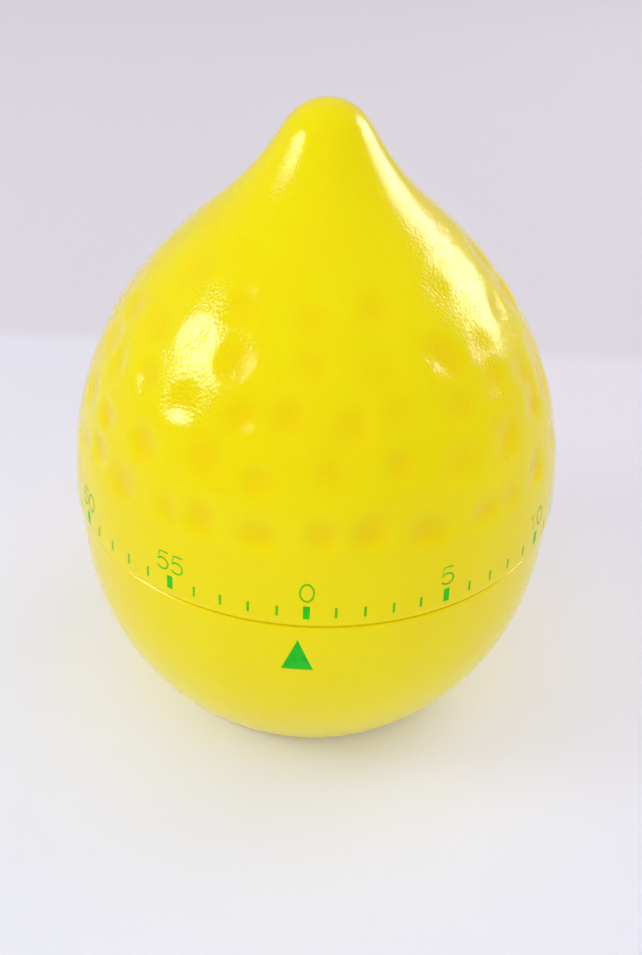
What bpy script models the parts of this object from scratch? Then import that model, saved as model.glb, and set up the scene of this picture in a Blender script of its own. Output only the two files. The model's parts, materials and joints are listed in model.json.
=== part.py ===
"""A 60 minute wind-up kitchen timer in the shape of a lemon.

The upper shell is the dial. It is pushed onto the main arbor of a plate movement that stands on three
bosses of the lower shell. Turning the dial winds the mainspring through a ratchet; the great wheel then
drives a three stage train to the escapement, and a strike train to the hammer and bell.

The frame: origin at the centre of the underside, +Z up, the front of the timer towards -Y. Metres.
"""

import math

import bmesh
import bpy
from mathutils import Vector

# ---- The lemon's outside -------------------------------------------------------------------------------
TOTAL_HEIGHT = 0.0750
DIAL_RADIUS = 0.0300
SEAM_HEIGHT = 0.0280
SEAM_GAP = 0.00035
SHELL_WALL = 0.0018
SHOULDER_PULL = 0.0155  # how far the dome stays upright above the seam
NECK_RADIUS = 0.01257  # where the dome leans in most
NECK_DROP = 0.0118  # below the tip
NECK_LEAN = math.radians(50.9)
NECK_PULL_BELOW = 0.0140
NECK_PULL_ABOVE = 0.0050
NIPPLE_RADIUS = 0.00494  # where the nipple stands steepest
NIPPLE_DROP = 0.0030
NIPPLE_LEAN = math.radians(32.1)
NIPPLE_PULL_BELOW = 0.0032
NIPPLE_PULL_ABOVE = 0.0028
TIP_FLAT = 0.0015
CUP_STEP = 0.00035  # the lower shell stays this far inside the dial's edge
BASE_RADIUS = 0.0201
BASE_LEAN = math.radians(46.5)
BASE_PULL = 0.0140
CUP_PULL = 0.0066

# ---- The lower shell's inside, and what stands on its floor --------------------------------------------
FOOT_PROUD = 0.0003
FLOOR_THICKNESS = 0.0020
FLOOR_CORNER_WIDTH = 0.0010
FLOOR_CORNER_RISE = 0.0005
LIP_HEIGHT = 0.0032  # the lip that rises inside the dial, above the seam
LIP_WALL = 0.0013
LIP_CLEARANCE = 0.00035
FOOT_INNER_RADIUS = 0.0102
FOOT_OUTER_RADIUS = 0.0128
FOOT_THICKNESS = 0.0010
FOOT_CLEARANCE = 0.0002
SCREW_CIRCLE = 0.0173  # the base screws, the bosses and the pillars share this circle
SCREW_ANGLES = tuple(math.radians(angle) for angle in (90, 210, 330))
BOSS_RADIUS = 0.0027
HEAD_RECESS_DEPTH = 0.0036

# ---- Screws --------------------------------------------------------------------------------------------
SHANK_RADIUS = 0.00095
HEAD_RADIUS = 0.0019
HEAD_HEIGHT = 0.0010
SLOT_WIDTH = 0.0005
SLOT_DEPTH = 0.0005
HOLE_CLEARANCE = 0.00015
SEAT_GAP = 0.0001

# ---- The movement's plates -----------------------------------------------------------------------------
PLATE_RADIUS = 0.0220
PLATE_THICKNESS = 0.0010
LOWER_PLATE_HEIGHT = 0.0110  # its underside
PLATE_SPACING = 0.0102  # clear space between the plates
PILLAR_RADIUS = 0.0018
PILLAR_WAIST_RADIUS = 0.0015
PILLAR_COLLAR = 0.0012
PILLAR_TAPER = 0.00024
SCREW_ENGAGEMENT = 0.0030

# ---- Levels above the lower plate ----------------------------------------------------------------------
WHEEL_THICKNESS = 0.0008
PINION_MARGIN = 0.0003  # a pinion is this much longer than its wheel, on each side
GREAT_LEVEL = 0.0008
RATCHET_LEVEL = 0.0019
BALANCE_LEVEL = 0.0022
SPRING_LEVEL = 0.0033
ESCAPE_LEVEL = 0.0040
SECOND_LEVEL = 0.0069
THIRD_LEVEL = 0.0084

# ---- The going train -----------------------------------------------------------------------------------
LEAVES = 8
GREAT_TEETH, GREAT_MODULE = 48, 0.00045
SECOND_TEETH, SECOND_MODULE = 40, 0.00032
THIRD_TEETH, THIRD_MODULE = 40, 0.00030
ADDENDUM = 0.8  # all tooth proportions are in modules
DEDENDUM = 1.2
BACKLASH = 0.15
PRESSURE_ANGLE = math.radians(20)
WHEEL_RIM = 0.0009  # under the teeth
WHEEL_ARMS = 4
WHEEL_ARM_HALF_WIDTH = 0.0005
WHEEL_HUB_RADIUS = 0.0018
SECOND_ANGLE = math.radians(1.0)
THIRD_RADIUS = 0.0124
ESCAPE_RADIUS = 0.0150
PALLET_DISTANCE = 0.0049  # from the escape arbor
PALLET_RADIUS = 0.0193
ESCAPE_TEETH = 15
ESCAPE_TIP_RADIUS = 0.0032
ESCAPE_DEPTH = 0.0008
ESCAPE_LEAN = 0.3
PALLET_SWING = math.radians(4.0)
PALLET_CLEARANCE = 0.00015
PALLET_SPREAD = math.radians(52)  # each pallet's, about the escape arbor
PALLET_ARM_HALF_WIDTH = 0.0004
BALANCE_LENGTH = 0.0068
BALANCE_HALF_WIDTH = 0.0011

# ---- Arbors --------------------------------------------------------------------------------------------
ARBOR_RADIUS = 0.00070
PIVOT_RADIUS = 0.00045
PIVOT_CLEARANCE = 0.00008
BORE_CLEARANCE = 0.00006
END_SHAKE = 0.00015
PIVOT_PROUD = 0.0002
MAIN_ARBOR_RADIUS = 0.0022
MAIN_PIVOT_RADIUS = 0.0015
DIAL_SHAFT_RADIUS = 0.0018
DIAL_SHAFT_FLAT = 0.0012  # distance of the shaft's flat from its axis
SHAFT_LENGTH = 0.0130  # above the upper plate

# ---- Mainspring, ratchet and click ---------------------------------------------------------------------
SPRING_HEIGHT = 0.0028
SPRING_STRIP = 0.00025
SPRING_ARBOR_CLEARANCE = 0.000175
SPRING_OUTER_RADIUS = 0.0093
SPRING_TURNS = 6
SPRING_LEAD = math.radians(60)  # the strip leaves its last turn this far before the post
SPRING_HOOK_START = math.radians(-115)  # the hook round the post
SPRING_HOOK_END = math.radians(150)
SPRING_POST_RADIUS = 0.0006
SPRING_POST_CIRCLE = 0.0124
SPRING_POST_ANGLE = math.radians(270)
RATCHET_TEETH = 20
RATCHET_RADIUS = 0.0048
RATCHET_DEPTH = 0.0006
RATCHET_LEAN = 0.15
CLICK_CIRCLE = 0.0082
CLICK_ANGLE = math.radians(200)
CLICK_SPAN = math.radians(36)  # from the stud back to the click's tip
CLICK_STUD_RADIUS = 0.0005
CLICK_EYE_RADIUS = 0.00095
CLICK_TIP_RADIUS = 0.0001
CLICK_TIP_CLEARANCE = 0.00015
STUD_HEAD_HEIGHT = 0.0003
CLICK_WIRE = 0.00015
# A leg spring's foot and end: how far along its lever, and how far to the lever's left
CLICK_SPRING_FOOT_AT = (0.0065, 0.0042)
CLICK_SPRING_END_AT = (0.0030, 0.0014)

# ---- Strike --------------------------------------------------------------------------------------------
STRIKE_ANGLE = math.radians(135)
STRIKE_TEETH = 12
STRIKE_TIP_RADIUS = 0.0044
STRIKE_DEPTH = 0.0012
STRIKE_LEAN = 0.5
STRIKE_LEVEL = 0.0069
HAMMER_CIRCLE = 0.0170
HAMMER_ANGLE = math.radians(155)
HAMMER_ARBOR_RADIUS = 0.0008
HAMMER_REACH = 0.0090
HAMMER_HEAD_RADIUS = 0.0016
HAMMER_HEAD_HEIGHT = 0.0020
HAMMER_GAP = 0.0003  # between the resting hammer and the bell
HAMMER_ARM_DROP = 0.0040  # below the lower plate
HAMMER_STEM_RADIUS = 0.0005
HAMMER_WIRE = 0.00015
HAMMER_COIL_TURNS = 3
HAMMER_COIL_PITCH = 0.00045
HAMMER_FOOT_ALONG = 0.0030
HAMMER_LEG = 0.0020
LEVER_THICKNESS = 0.0007
LEVER_WIDTH = 0.0010
LEVER_EYE_RADIUS = 0.0014
TAIL_CLEARANCE = 0.00015
BELL_RADIUS = 0.0120
BELL_HEIGHT = 0.0052
BELL_WALL = 0.0007
BELL_POST_RADIUS = 0.0024
BELL_POST_HEIGHT = 0.0012
BELL_BOSS_HEIGHT = 0.0006
BELL_PILOT_WALL = 0.0009  # left under the bell screw's hole
BELL_FLAT_RADIUS = 0.0085
BELL_FLAT_PULL = 0.0020
BELL_RIM_PULL = 0.0030

# ---- Dial control above the upper plate ----------------------------------------------------------------
CAM_LEVEL = 0.0005  # above the upper plate
CAM_RADIUS = 0.0070
CAM_THICKNESS = 0.0008
NOTCH_DEPTH = 0.0012
NOTCH_HALF_ANGLE = math.radians(9)
STOP_RADIUS = 0.0130
STOP_ARM_WIDTH = 0.0006
STOP_HUB_RADIUS = 0.0040
STOP_PIN_RADIUS = 0.0004
STOP_PIN_ANGLE = math.radians(240)
STOP_CLEARANCE = 0.0001
CLIP_THICKNESS = 0.0005
CLIP_RADIUS = 0.0030
CLIP_GROOVE_DEPTH = 0.0004
CLIP_HALF_OPENING = math.radians(35)
DETENT_CIRCLE = 0.0165
DETENT_ANGLE = math.radians(30)
DETENT_NOSE_ANGLE = math.radians(350)
DETENT_CLEARANCE = 0.00015
DETENT_NOSE_RADIUS = 0.0005
DETENT_EYE_RADIUS = 0.0012
DETENT_WIRE = 0.0002
DETENT_SPRING_FOOT_AT = (0.0020, 0.0040)
DETENT_SPRING_END_AT = (0.0060, 0.0019)
LEVEL_GAP = 0.0003

# ---- The dial's socket ---------------------------------------------------------------------------------
HUB_RADIUS = 0.0038
HUB_SHOULDER = 0.00114  # the dome's inner wall ends this far outside the hub
HUB_CLEARANCE = 0.0003  # above the clip
SOCKET_CLEARANCE = 0.0001
WEB_THICKNESS = 0.0012
WEB_RISE = 0.0140  # the webs start this far above the hub's mouth

TURN_STEPS = 40  # around the shells
SMALL_STEPS = 14  # around arbors, screws and posts
ROUND_STEPS = 32  # around the bell, the foot and the plates
BORE_STEPS = 12
WIRE_HOLE_STEPS = 8
SPRING_TURN_POINTS = 16
COIL_TURN_POINTS = 12
OVERCUT = 0.0010  # a cutter runs this far past the face that it cuts

# ---- Heights that follow from the sizes above ----------------------------------------------------------
UNDERSIDE = FOOT_PROUD
CUP_RADIUS = DIAL_RADIUS - CUP_STEP
FLOOR_TOP = UNDERSIDE + FLOOR_THICKNESS
LOWER_PLATE_TOP = LOWER_PLATE_HEIGHT + PLATE_THICKNESS
UPPER_PLATE_HEIGHT = LOWER_PLATE_TOP + PLATE_SPACING
UPPER_PLATE_TOP = UPPER_PLATE_HEIGHT + PLATE_THICKNESS
CAM_HEIGHT = UPPER_PLATE_TOP + CAM_LEVEL
STOP_ARM_HEIGHT = CAM_HEIGHT + CAM_THICKNESS + LEVEL_GAP
CLIP_HEIGHT = STOP_ARM_HEIGHT + CAM_THICKNESS + SEAT_GAP
HUB_MOUTH = CLIP_HEIGHT + CLIP_THICKNESS + HUB_CLEARANCE
SHAFT_TOP = UPPER_PLATE_TOP + SHAFT_LENGTH
BOSS_TOP = LOWER_PLATE_HEIGHT - SEAT_GAP
RECESS_TOP = UNDERSIDE + HEAD_RECESS_DEPTH
BELL_PILOT_FLOOR = UNDERSIDE + BELL_PILOT_WALL
BELL_BOSS_TOP = FLOOR_TOP + BELL_BOSS_HEIGHT
BELL_FLOOR = BELL_BOSS_TOP + BELL_POST_HEIGHT + 2 * SEAT_GAP
HAMMER_ARM_TOP = LOWER_PLATE_HEIGHT - HAMMER_ARM_DROP

# ---- Scene and collections -----------------------------------------------------------------------------
for leftover in list(bpy.data.objects):
    bpy.data.objects.remove(leftover)
PARTS = bpy.data.collections.new("kitchen_timer")
TOOLS = bpy.data.collections.new("kitchen_timer_cutters")
for collection in (PARTS, TOOLS):
    bpy.context.scene.collection.children.link(collection)


def finish(name, colour, roughness, metallic=0.0):
    """A plain material of one colour."""
    made = bpy.data.materials.new(name)
    made.use_nodes = True
    shader = made.node_tree.nodes["Principled BSDF"]
    shader.inputs["Base Color"].default_value = (*colour, 1.0)
    shader.inputs["Roughness"].default_value = roughness
    shader.inputs["Metallic"].default_value = metallic
    return made


YELLOW = (0.87, 0.74, 0.02)
BRASS = (0.72, 0.52, 0.20)
STEEL = (0.56, 0.57, 0.58)
BLUED = (0.12, 0.14, 0.20)
RUBBER = (0.05, 0.05, 0.05)


# ---- Making and placing shapes -------------------------------------------------------------------------
def axis_at(name, circle, angle):
    """An empty on an upright axis. The pieces on that axis are its children."""
    empty = bpy.data.objects.new(name, None)
    empty.location = (circle * math.cos(angle), circle * math.sin(angle), 0)
    empty.empty_display_size = 0.004
    PARTS.objects.link(empty)
    return empty


def placed(obj, collection, parent, turn, height):
    collection.objects.link(obj)
    obj.parent = parent
    obj.location.z = height
    obj.rotation_euler.z = turn
    return obj


def shown(name, data, look, parent=None, turn=0.0, height=0.0):
    """Adds one piece of the timer, with a material of its own."""
    obj = placed(bpy.data.objects.new(name, data), PARTS, parent, turn, height)
    colour, roughness, metallic = look
    data.materials.append(finish(name, colour, roughness, metallic))
    return obj


def helper(name, data, parent=None, turn=0.0, height=0.0):
    """Adds a shape that only cuts or joins others."""
    obj = placed(bpy.data.objects.new(name, data), TOOLS, parent, turn, height)
    obj.hide_render = True
    obj.display_type = "WIRE"
    return obj


def profile_mesh(name, outline, closed):
    mesh = bpy.data.meshes.new(name)
    shape = bmesh.new()
    points = [shape.verts.new((radius, 0, height)) for radius, height in outline]
    following = points[1:] + points[:1] if closed else points[1:]
    for start, end in zip(points, following):
        shape.edges.new((start, end))
    shape.to_mesh(mesh)
    shape.free()
    return mesh


def spin(obj, steps):
    """Turns an outline about its Z axis into a solid."""
    screw = obj.modifiers.new("turned", "SCREW")
    screw.steps = screw.render_steps = steps
    screw.use_merge_vertices = True
    screw.merge_threshold = 1e-6
    screw.use_smooth_shade = True
    return obj


def turned(name, outline, look, steps=SMALL_STEPS, closed=False, **place):
    """A turned piece: the outline's (radius, height) points run down its outer side."""
    return spin(shown(name, profile_mesh(name, outline, closed), look, **place), steps)


def curve_of(name, outlines, low, high):
    """A flat curve, filled between its outlines, from the height low to high."""
    curve = bpy.data.curves.new(name, "CURVE")
    curve.dimensions = "2D"
    curve.fill_mode = "BOTH"
    curve.extrude = (high - low) / 2
    for outline in outlines:
        spline = curve.splines.new("POLY")
        spline.points.add(len(outline) - 1)
        spline.use_cyclic_u = True
        for point, (x, y) in zip(spline.points, outline):
            point.co = (x, y, 0, 1)
    return curve


def flat(name, outlines, low, high, look, **place):
    """A flat piece of the given outlines, of which the inner ones are holes."""
    return shown(name, curve_of(name, outlines, low, high), look, height=(low + high) / 2, **place)


def mesh_of(curve_object):
    """The curve object's solid as a welded mesh, in the curve's own frame."""
    bpy.context.view_layer.update()
    graph = bpy.context.evaluated_depsgraph_get()
    mesh = bpy.data.meshes.new_from_object(curve_object.evaluated_get(graph))
    shape = bmesh.new()
    shape.from_mesh(mesh)
    bmesh.ops.remove_doubles(shape, verts=shape.verts, dist=1e-7)
    bmesh.ops.recalc_face_normals(shape, faces=shape.faces)
    shape.to_mesh(mesh)
    shape.free()
    return mesh


def prism(name, outlines, low, high, **place):
    """A helper solid of the given outlines."""
    guide = helper(name + "_outline", curve_of(name, outlines, low, high))
    mesh = mesh_of(guide)
    bpy.data.objects.remove(guide)
    return helper(name, mesh, height=(low + high) / 2, **place)


def rod(name, radius, low, high, steps=SMALL_STEPS, **place):
    """A helper cylinder."""
    mesh = bpy.data.meshes.new(name)
    shape = bmesh.new()
    length = high - low
    bmesh.ops.create_cone(shape, cap_ends=True, segments=steps, radius1=radius, radius2=radius, depth=length)
    shape.to_mesh(mesh)
    shape.free()
    return helper(name, mesh, height=(low + high) / 2, **place)


def boolean(obj, other, operation):
    modifier = obj.modifiers.new(other.name, "BOOLEAN")
    modifier.object = other
    modifier.operation = operation
    modifier.solver = "EXACT"


def cut(obj, *others):
    for other in others:
        boolean(obj, other, "DIFFERENCE")


def join(obj, *others):
    for other in others:
        boolean(obj, other, "UNION")


def wire(name, route, radius, look, **place):
    """A round wire along a route of (x, y, z) points."""
    curve = bpy.data.curves.new(name, "CURVE")
    curve.dimensions = "3D"
    curve.bevel_depth = radius
    curve.bevel_resolution = 1
    curve.use_fill_caps = True
    spline = curve.splines.new("POLY")
    spline.points.add(len(route) - 1)
    for point, place_on_route in zip(spline.points, route):
        point.co = (*place_on_route, 1)
    return shown(name, curve, look, **place)


# ---- Outlines ------------------------------------------------------------------------------------------
def polar(radius, angle, centre=(0.0, 0.0)):
    return (centre[0] + radius * math.cos(angle), centre[1] + radius * math.sin(angle))


def arc(radius, start, end, count, centre=(0.0, 0.0)):
    """Points on an arc, with both its ends."""
    return [polar(radius, start + (end - start) * i / (count - 1), centre) for i in range(count)]


def circle(radius, steps=SMALL_STEPS, centre=(0.0, 0.0)):
    return arc(radius, 0, math.tau * (steps - 1) / steps, steps, centre)


def d_shape(radius, flat_distance):
    """A round with a flat on its -Y side."""
    half = math.acos(flat_distance / radius)
    return arc(radius, -math.pi / 2 + half, 3 * math.pi / 2 - half, SMALL_STEPS)


def plain_rod(radius, low, high):
    """The outline of a rod, to be turned."""
    return [(0, high), (radius, high), (radius, low), (0, low)]


def bar(start, end, half_width, end_half_width=None, steps=7):
    """A bar with round ends between two points."""
    lean = math.atan2(end[1] - start[1], end[0] - start[0])
    far = half_width if end_half_width is None else end_half_width
    return (
        arc(far, lean - math.pi / 2, lean + math.pi / 2, steps, end)
        + arc(half_width, lean + math.pi / 2, lean + 3 * math.pi / 2, steps, start)
    )


def bezier(start, pull, counter_pull, end, count):
    """Points on a cubic curve, without its first."""
    p0, p3 = Vector(start), Vector(end)
    p1, p2 = p0 + Vector(pull), p3 - Vector(counter_pull)
    points = []
    for i in range(1, count + 1):
        t = i / count
        s = 1 - t
        points.append(tuple(s**3 * p0 + 3 * s * s * t * p1 + 3 * s * t * t * p2 + t**3 * p3))
    return points


def leaning(angle, length):
    """A step up the outline that leans inwards by the angle."""
    return (-length * math.sin(angle), length * math.cos(angle))


def inset(outline, distance):
    """The outline moved to its left by the distance."""
    moved = []
    for i, point in enumerate(outline):
        before = Vector(outline[max(i - 1, 0)])
        after = Vector(outline[min(i + 1, len(outline) - 1)])
        along = (after - before).normalized()
        moved.append((point[0] - along.y * distance, point[1] + along.x * distance))
    return moved


def radius_at(outline, height):
    """The radius of a rising outline at a height, beyond its ends the nearest one."""
    for (r0, z0), (r1, z1) in zip(outline, outline[1:]):
        if z0 <= height <= z1:
            return r0 + (r1 - r0) * (height - z0) / max(z1 - z0, 1e-9)
    return outline[0][0] if height < outline[0][1] else outline[-1][0]


# ---- Teeth ---------------------------------------------------------------------------------------------
def root_radius(teeth, module):
    return teeth * module / 2 - DEDENDUM * module


def gear_outline(teeth, module, flank_points):
    """An involute gear, its first tooth on +X."""
    pitch = teeth * module / 2
    base = pitch * math.cos(PRESSURE_ANGLE)
    tip = pitch + ADDENDUM * module
    root = root_radius(teeth, module)
    half_tooth = math.pi / (2 * teeth) - BACKLASH * module / (2 * pitch)

    def involute(angle):
        return math.tan(angle) - angle

    def half_width(radius):
        spread = half_tooth + involute(PRESSURE_ANGLE)
        return spread if radius <= base else spread - involute(math.acos(base / radius))

    start = max(base, root)
    radii = [start + (tip - start) * i / flank_points for i in range(flank_points + 1)]
    if root < base:
        radii.insert(0, root)
    outline = []
    for tooth in range(teeth):
        middle = math.tau * tooth / teeth
        outline += [polar(radius, middle - half_width(radius)) for radius in radii]
        outline += [polar(radius, middle + half_width(radius)) for radius in reversed(radii)]
    return outline


def saw_outline(teeth, tip, depth, lean):
    """Pointed teeth. The lean is the share of a tooth's pitch between its tip and the root after it."""
    step = math.tau / teeth
    outline = []
    for tooth in range(teeth):
        outline += [polar(tip, tooth * step), polar(tip - depth, (tooth + lean) * step)]
    return outline


def meshed_turn(direction, turn, teeth, next_teeth):
    """The turn that puts the next gear's gap where this gear's tooth lies, on the line between them."""
    share = ((direction - turn) * teeth / math.tau) % 1.0
    return direction + math.pi - (0.5 - share) * math.tau / next_teeth


def windows(outer):
    """The gaps between a wheel's arms, from its hub out to this radius."""
    gaps = []
    inner, arm = WHEEL_HUB_RADIUS, WHEEL_ARM_HALF_WIDTH
    for i in range(WHEEL_ARMS):
        start, end = math.tau * i / WHEEL_ARMS, math.tau * (i + 1) / WHEEL_ARMS
        outside = arc(outer, start + arm / outer, end - arm / outer, 6)
        inside = arc(inner, end - arm / inner, start + arm / inner, 3)
        gaps.append(outside + inside)
    return gaps


# ---- Where the arbors stand ----------------------------------------------------------------------------
def swing(near, far, distance):
    """The angle at the centre between two points on these circles that lie this distance apart."""
    return math.acos((near**2 + far**2 - distance**2) / (2 * near * far))


def direction(start, end):
    return math.atan2(end[1] - start[1], end[0] - start[0])


def beside(start, end, along, across):
    """The point this far from start towards end, and then this far to the left."""
    lean = direction(start, end)
    return polar(across, lean + math.pi / 2, polar(along, lean, start))


GREAT_DISTANCE = (GREAT_TEETH + LEAVES) * GREAT_MODULE / 2
SECOND_DISTANCE = (SECOND_TEETH + LEAVES) * SECOND_MODULE / 2
THIRD_DISTANCE = (THIRD_TEETH + LEAVES) * THIRD_MODULE / 2
THIRD_ANGLE = SECOND_ANGLE + swing(GREAT_DISTANCE, THIRD_RADIUS, SECOND_DISTANCE)
ESCAPE_ANGLE = THIRD_ANGLE + swing(THIRD_RADIUS, ESCAPE_RADIUS, THIRD_DISTANCE)
PALLET_ANGLE = ESCAPE_ANGLE - swing(ESCAPE_RADIUS, PALLET_RADIUS, PALLET_DISTANCE)
SECOND = polar(GREAT_DISTANCE, SECOND_ANGLE)
THIRD = polar(THIRD_RADIUS, THIRD_ANGLE)
ESCAPE = polar(ESCAPE_RADIUS, ESCAPE_ANGLE)
PALLET = polar(PALLET_RADIUS, PALLET_ANGLE)
STRIKE = polar(GREAT_DISTANCE, STRIKE_ANGLE)
HAMMER = polar(HAMMER_CIRCLE, HAMMER_ANGLE)
DETENT = polar(DETENT_CIRCLE, DETENT_ANGLE)
SPRING_POST = polar(SPRING_POST_CIRCLE, SPRING_POST_ANGLE)
STOP_PIN = polar(STOP_RADIUS, STOP_PIN_ANGLE)
DETENT_NOSE = polar(CAM_RADIUS + DETENT_CLEARANCE + DETENT_NOSE_RADIUS, DETENT_NOSE_ANGLE)
CLICK = polar(CLICK_CIRCLE, CLICK_ANGLE)
CLICK_TIP_CIRCLE = RATCHET_RADIUS - RATCHET_DEPTH + CLICK_TIP_RADIUS + CLICK_TIP_CLEARANCE
CLICK_TIP = polar(CLICK_TIP_CIRCLE, CLICK_ANGLE - CLICK_SPAN + CLICK_TIP_CLEARANCE / CLICK_TIP_CIRCLE)
HAMMER_HEAD_CIRCLE = BELL_RADIUS + HAMMER_GAP + HAMMER_HEAD_RADIUS
HAMMER_HEAD = polar(
    HAMMER_HEAD_CIRCLE, HAMMER_ANGLE + swing(HAMMER_CIRCLE, HAMMER_HEAD_CIRCLE, HAMMER_REACH)
)

CLICK_SPRING_FOOT = beside(CLICK, CLICK_TIP, *CLICK_SPRING_FOOT_AT)
CLICK_SPRING_END = beside(CLICK, CLICK_TIP, *CLICK_SPRING_END_AT)
DETENT_SPRING_FOOT = beside(DETENT, DETENT_NOSE, *DETENT_SPRING_FOOT_AT)
DETENT_SPRING_END = beside(DETENT, DETENT_NOSE, *DETENT_SPRING_END_AT)
HAMMER_COIL_RADIUS = HAMMER_ARBOR_RADIUS + 2 * HAMMER_WIRE + PIVOT_CLEARANCE
HAMMER_SPRING_FOOT = beside(HAMMER, HAMMER_HEAD, HAMMER_FOOT_ALONG, -HAMMER_COIL_RADIUS)

GREAT_TURN = 0.0
SECOND_TURN = meshed_turn(SECOND_ANGLE, GREAT_TURN, GREAT_TEETH, LEAVES)
THIRD_TURN = meshed_turn(direction(SECOND, THIRD), SECOND_TURN, SECOND_TEETH, LEAVES)
ESCAPE_TURN = meshed_turn(direction(THIRD, ESCAPE), THIRD_TURN, THIRD_TEETH, LEAVES)
STRIKE_TURN = meshed_turn(STRIKE_ANGLE, GREAT_TURN, GREAT_TEETH, LEAVES)

second_axis = axis_at("second_axis", GREAT_DISTANCE, SECOND_ANGLE)
third_axis = axis_at("third_axis", THIRD_RADIUS, THIRD_ANGLE)
escape_axis = axis_at("escape_axis", ESCAPE_RADIUS, ESCAPE_ANGLE)
pallet_axis = axis_at("pallet_axis", PALLET_RADIUS, PALLET_ANGLE)
strike_axis = axis_at("strike_axis", GREAT_DISTANCE, STRIKE_ANGLE)
hammer_axis = axis_at("hammer_axis", HAMMER_CIRCLE, HAMMER_ANGLE)
detent_axis = axis_at("detent_axis", DETENT_CIRCLE, DETENT_ANGLE)
click_axis = axis_at("click_axis", CLICK_CIRCLE, CLICK_ANGLE)
screw_axes = [
    axis_at(f"screw_axis_{i + 1}", SCREW_CIRCLE, angle) for i, angle in enumerate(SCREW_ANGLES)
]


# ---- Shells and foot -----------------------------------------------------------------------------------
def dome_outline():
    """The dial's outside, rising from the seam to the tip."""
    seam = (DIAL_RADIUS, SEAM_HEIGHT)
    neck = (NECK_RADIUS, TOTAL_HEIGHT - NECK_DROP)
    nipple = (NIPPLE_RADIUS, TOTAL_HEIGHT - NIPPLE_DROP)
    tip = (0.0, TOTAL_HEIGHT)
    neck_below, neck_above = leaning(NECK_LEAN, NECK_PULL_BELOW), leaning(NECK_LEAN, NECK_PULL_ABOVE)
    side_below, side_above = leaning(NIPPLE_LEAN, NIPPLE_PULL_BELOW), leaning(NIPPLE_LEAN, NIPPLE_PULL_ABOVE)
    return (
        [seam]
        + bezier(seam, (0, SHOULDER_PULL), neck_below, neck, 8)
        + bezier(neck, neck_above, side_below, nipple, 3)
        + bezier(nipple, side_above, (-TIP_FLAT, 0), tip, 4)
    )


def cup_outline():
    """The lower shell's outside, rising from the underside's edge to the seam."""
    foot = (BASE_RADIUS, UNDERSIDE)
    pull = (BASE_PULL * math.cos(BASE_LEAN), BASE_PULL * math.sin(BASE_LEAN))
    return [foot] + bezier(foot, pull, (0, CUP_PULL), (CUP_RADIUS, SEAM_HEIGHT - SEAM_GAP), 7)


def upper_shell():
    outside = dome_outline()
    open_radius = HUB_RADIUS + HUB_SHOULDER
    inside = [point for point in inset(outside, SHELL_WALL) if point[0] > open_radius]
    inside[0] = (DIAL_RADIUS - SHELL_WALL, SEAM_HEIGHT)
    hub = [(HUB_RADIUS, inside[-1][1]), (HUB_RADIUS, HUB_MOUTH), (0, HUB_MOUTH)]
    shell = turned("upper_shell", outside[::-1] + inside + hub, (YELLOW, 0.25, 0.0), TURN_STEPS)
    middle = [
        point
        for point in inset(outside, SHELL_WALL / 2)
        if point[0] > open_radius and point[1] > HUB_MOUTH + WEB_RISE
    ]
    web = middle + [(-radius, height) for radius, height in reversed(middle)]
    for number, turn in enumerate((0.0, math.pi / 2)):
        plate = prism(f"dial_web_{number + 1}", [web], -WEB_THICKNESS / 2, WEB_THICKNESS / 2)
        plate.rotation_euler = (math.pi / 2, 0, turn)
        join(shell, plate)
    socket = d_shape(DIAL_SHAFT_RADIUS + SOCKET_CLEARANCE, DIAL_SHAFT_FLAT + SOCKET_CLEARANCE)
    cut(shell, prism("dial_socket", [socket], HUB_MOUTH - OVERCUT, SHAFT_TOP + SOCKET_CLEARANCE))
    return inset(outside, SHELL_WALL)


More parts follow.
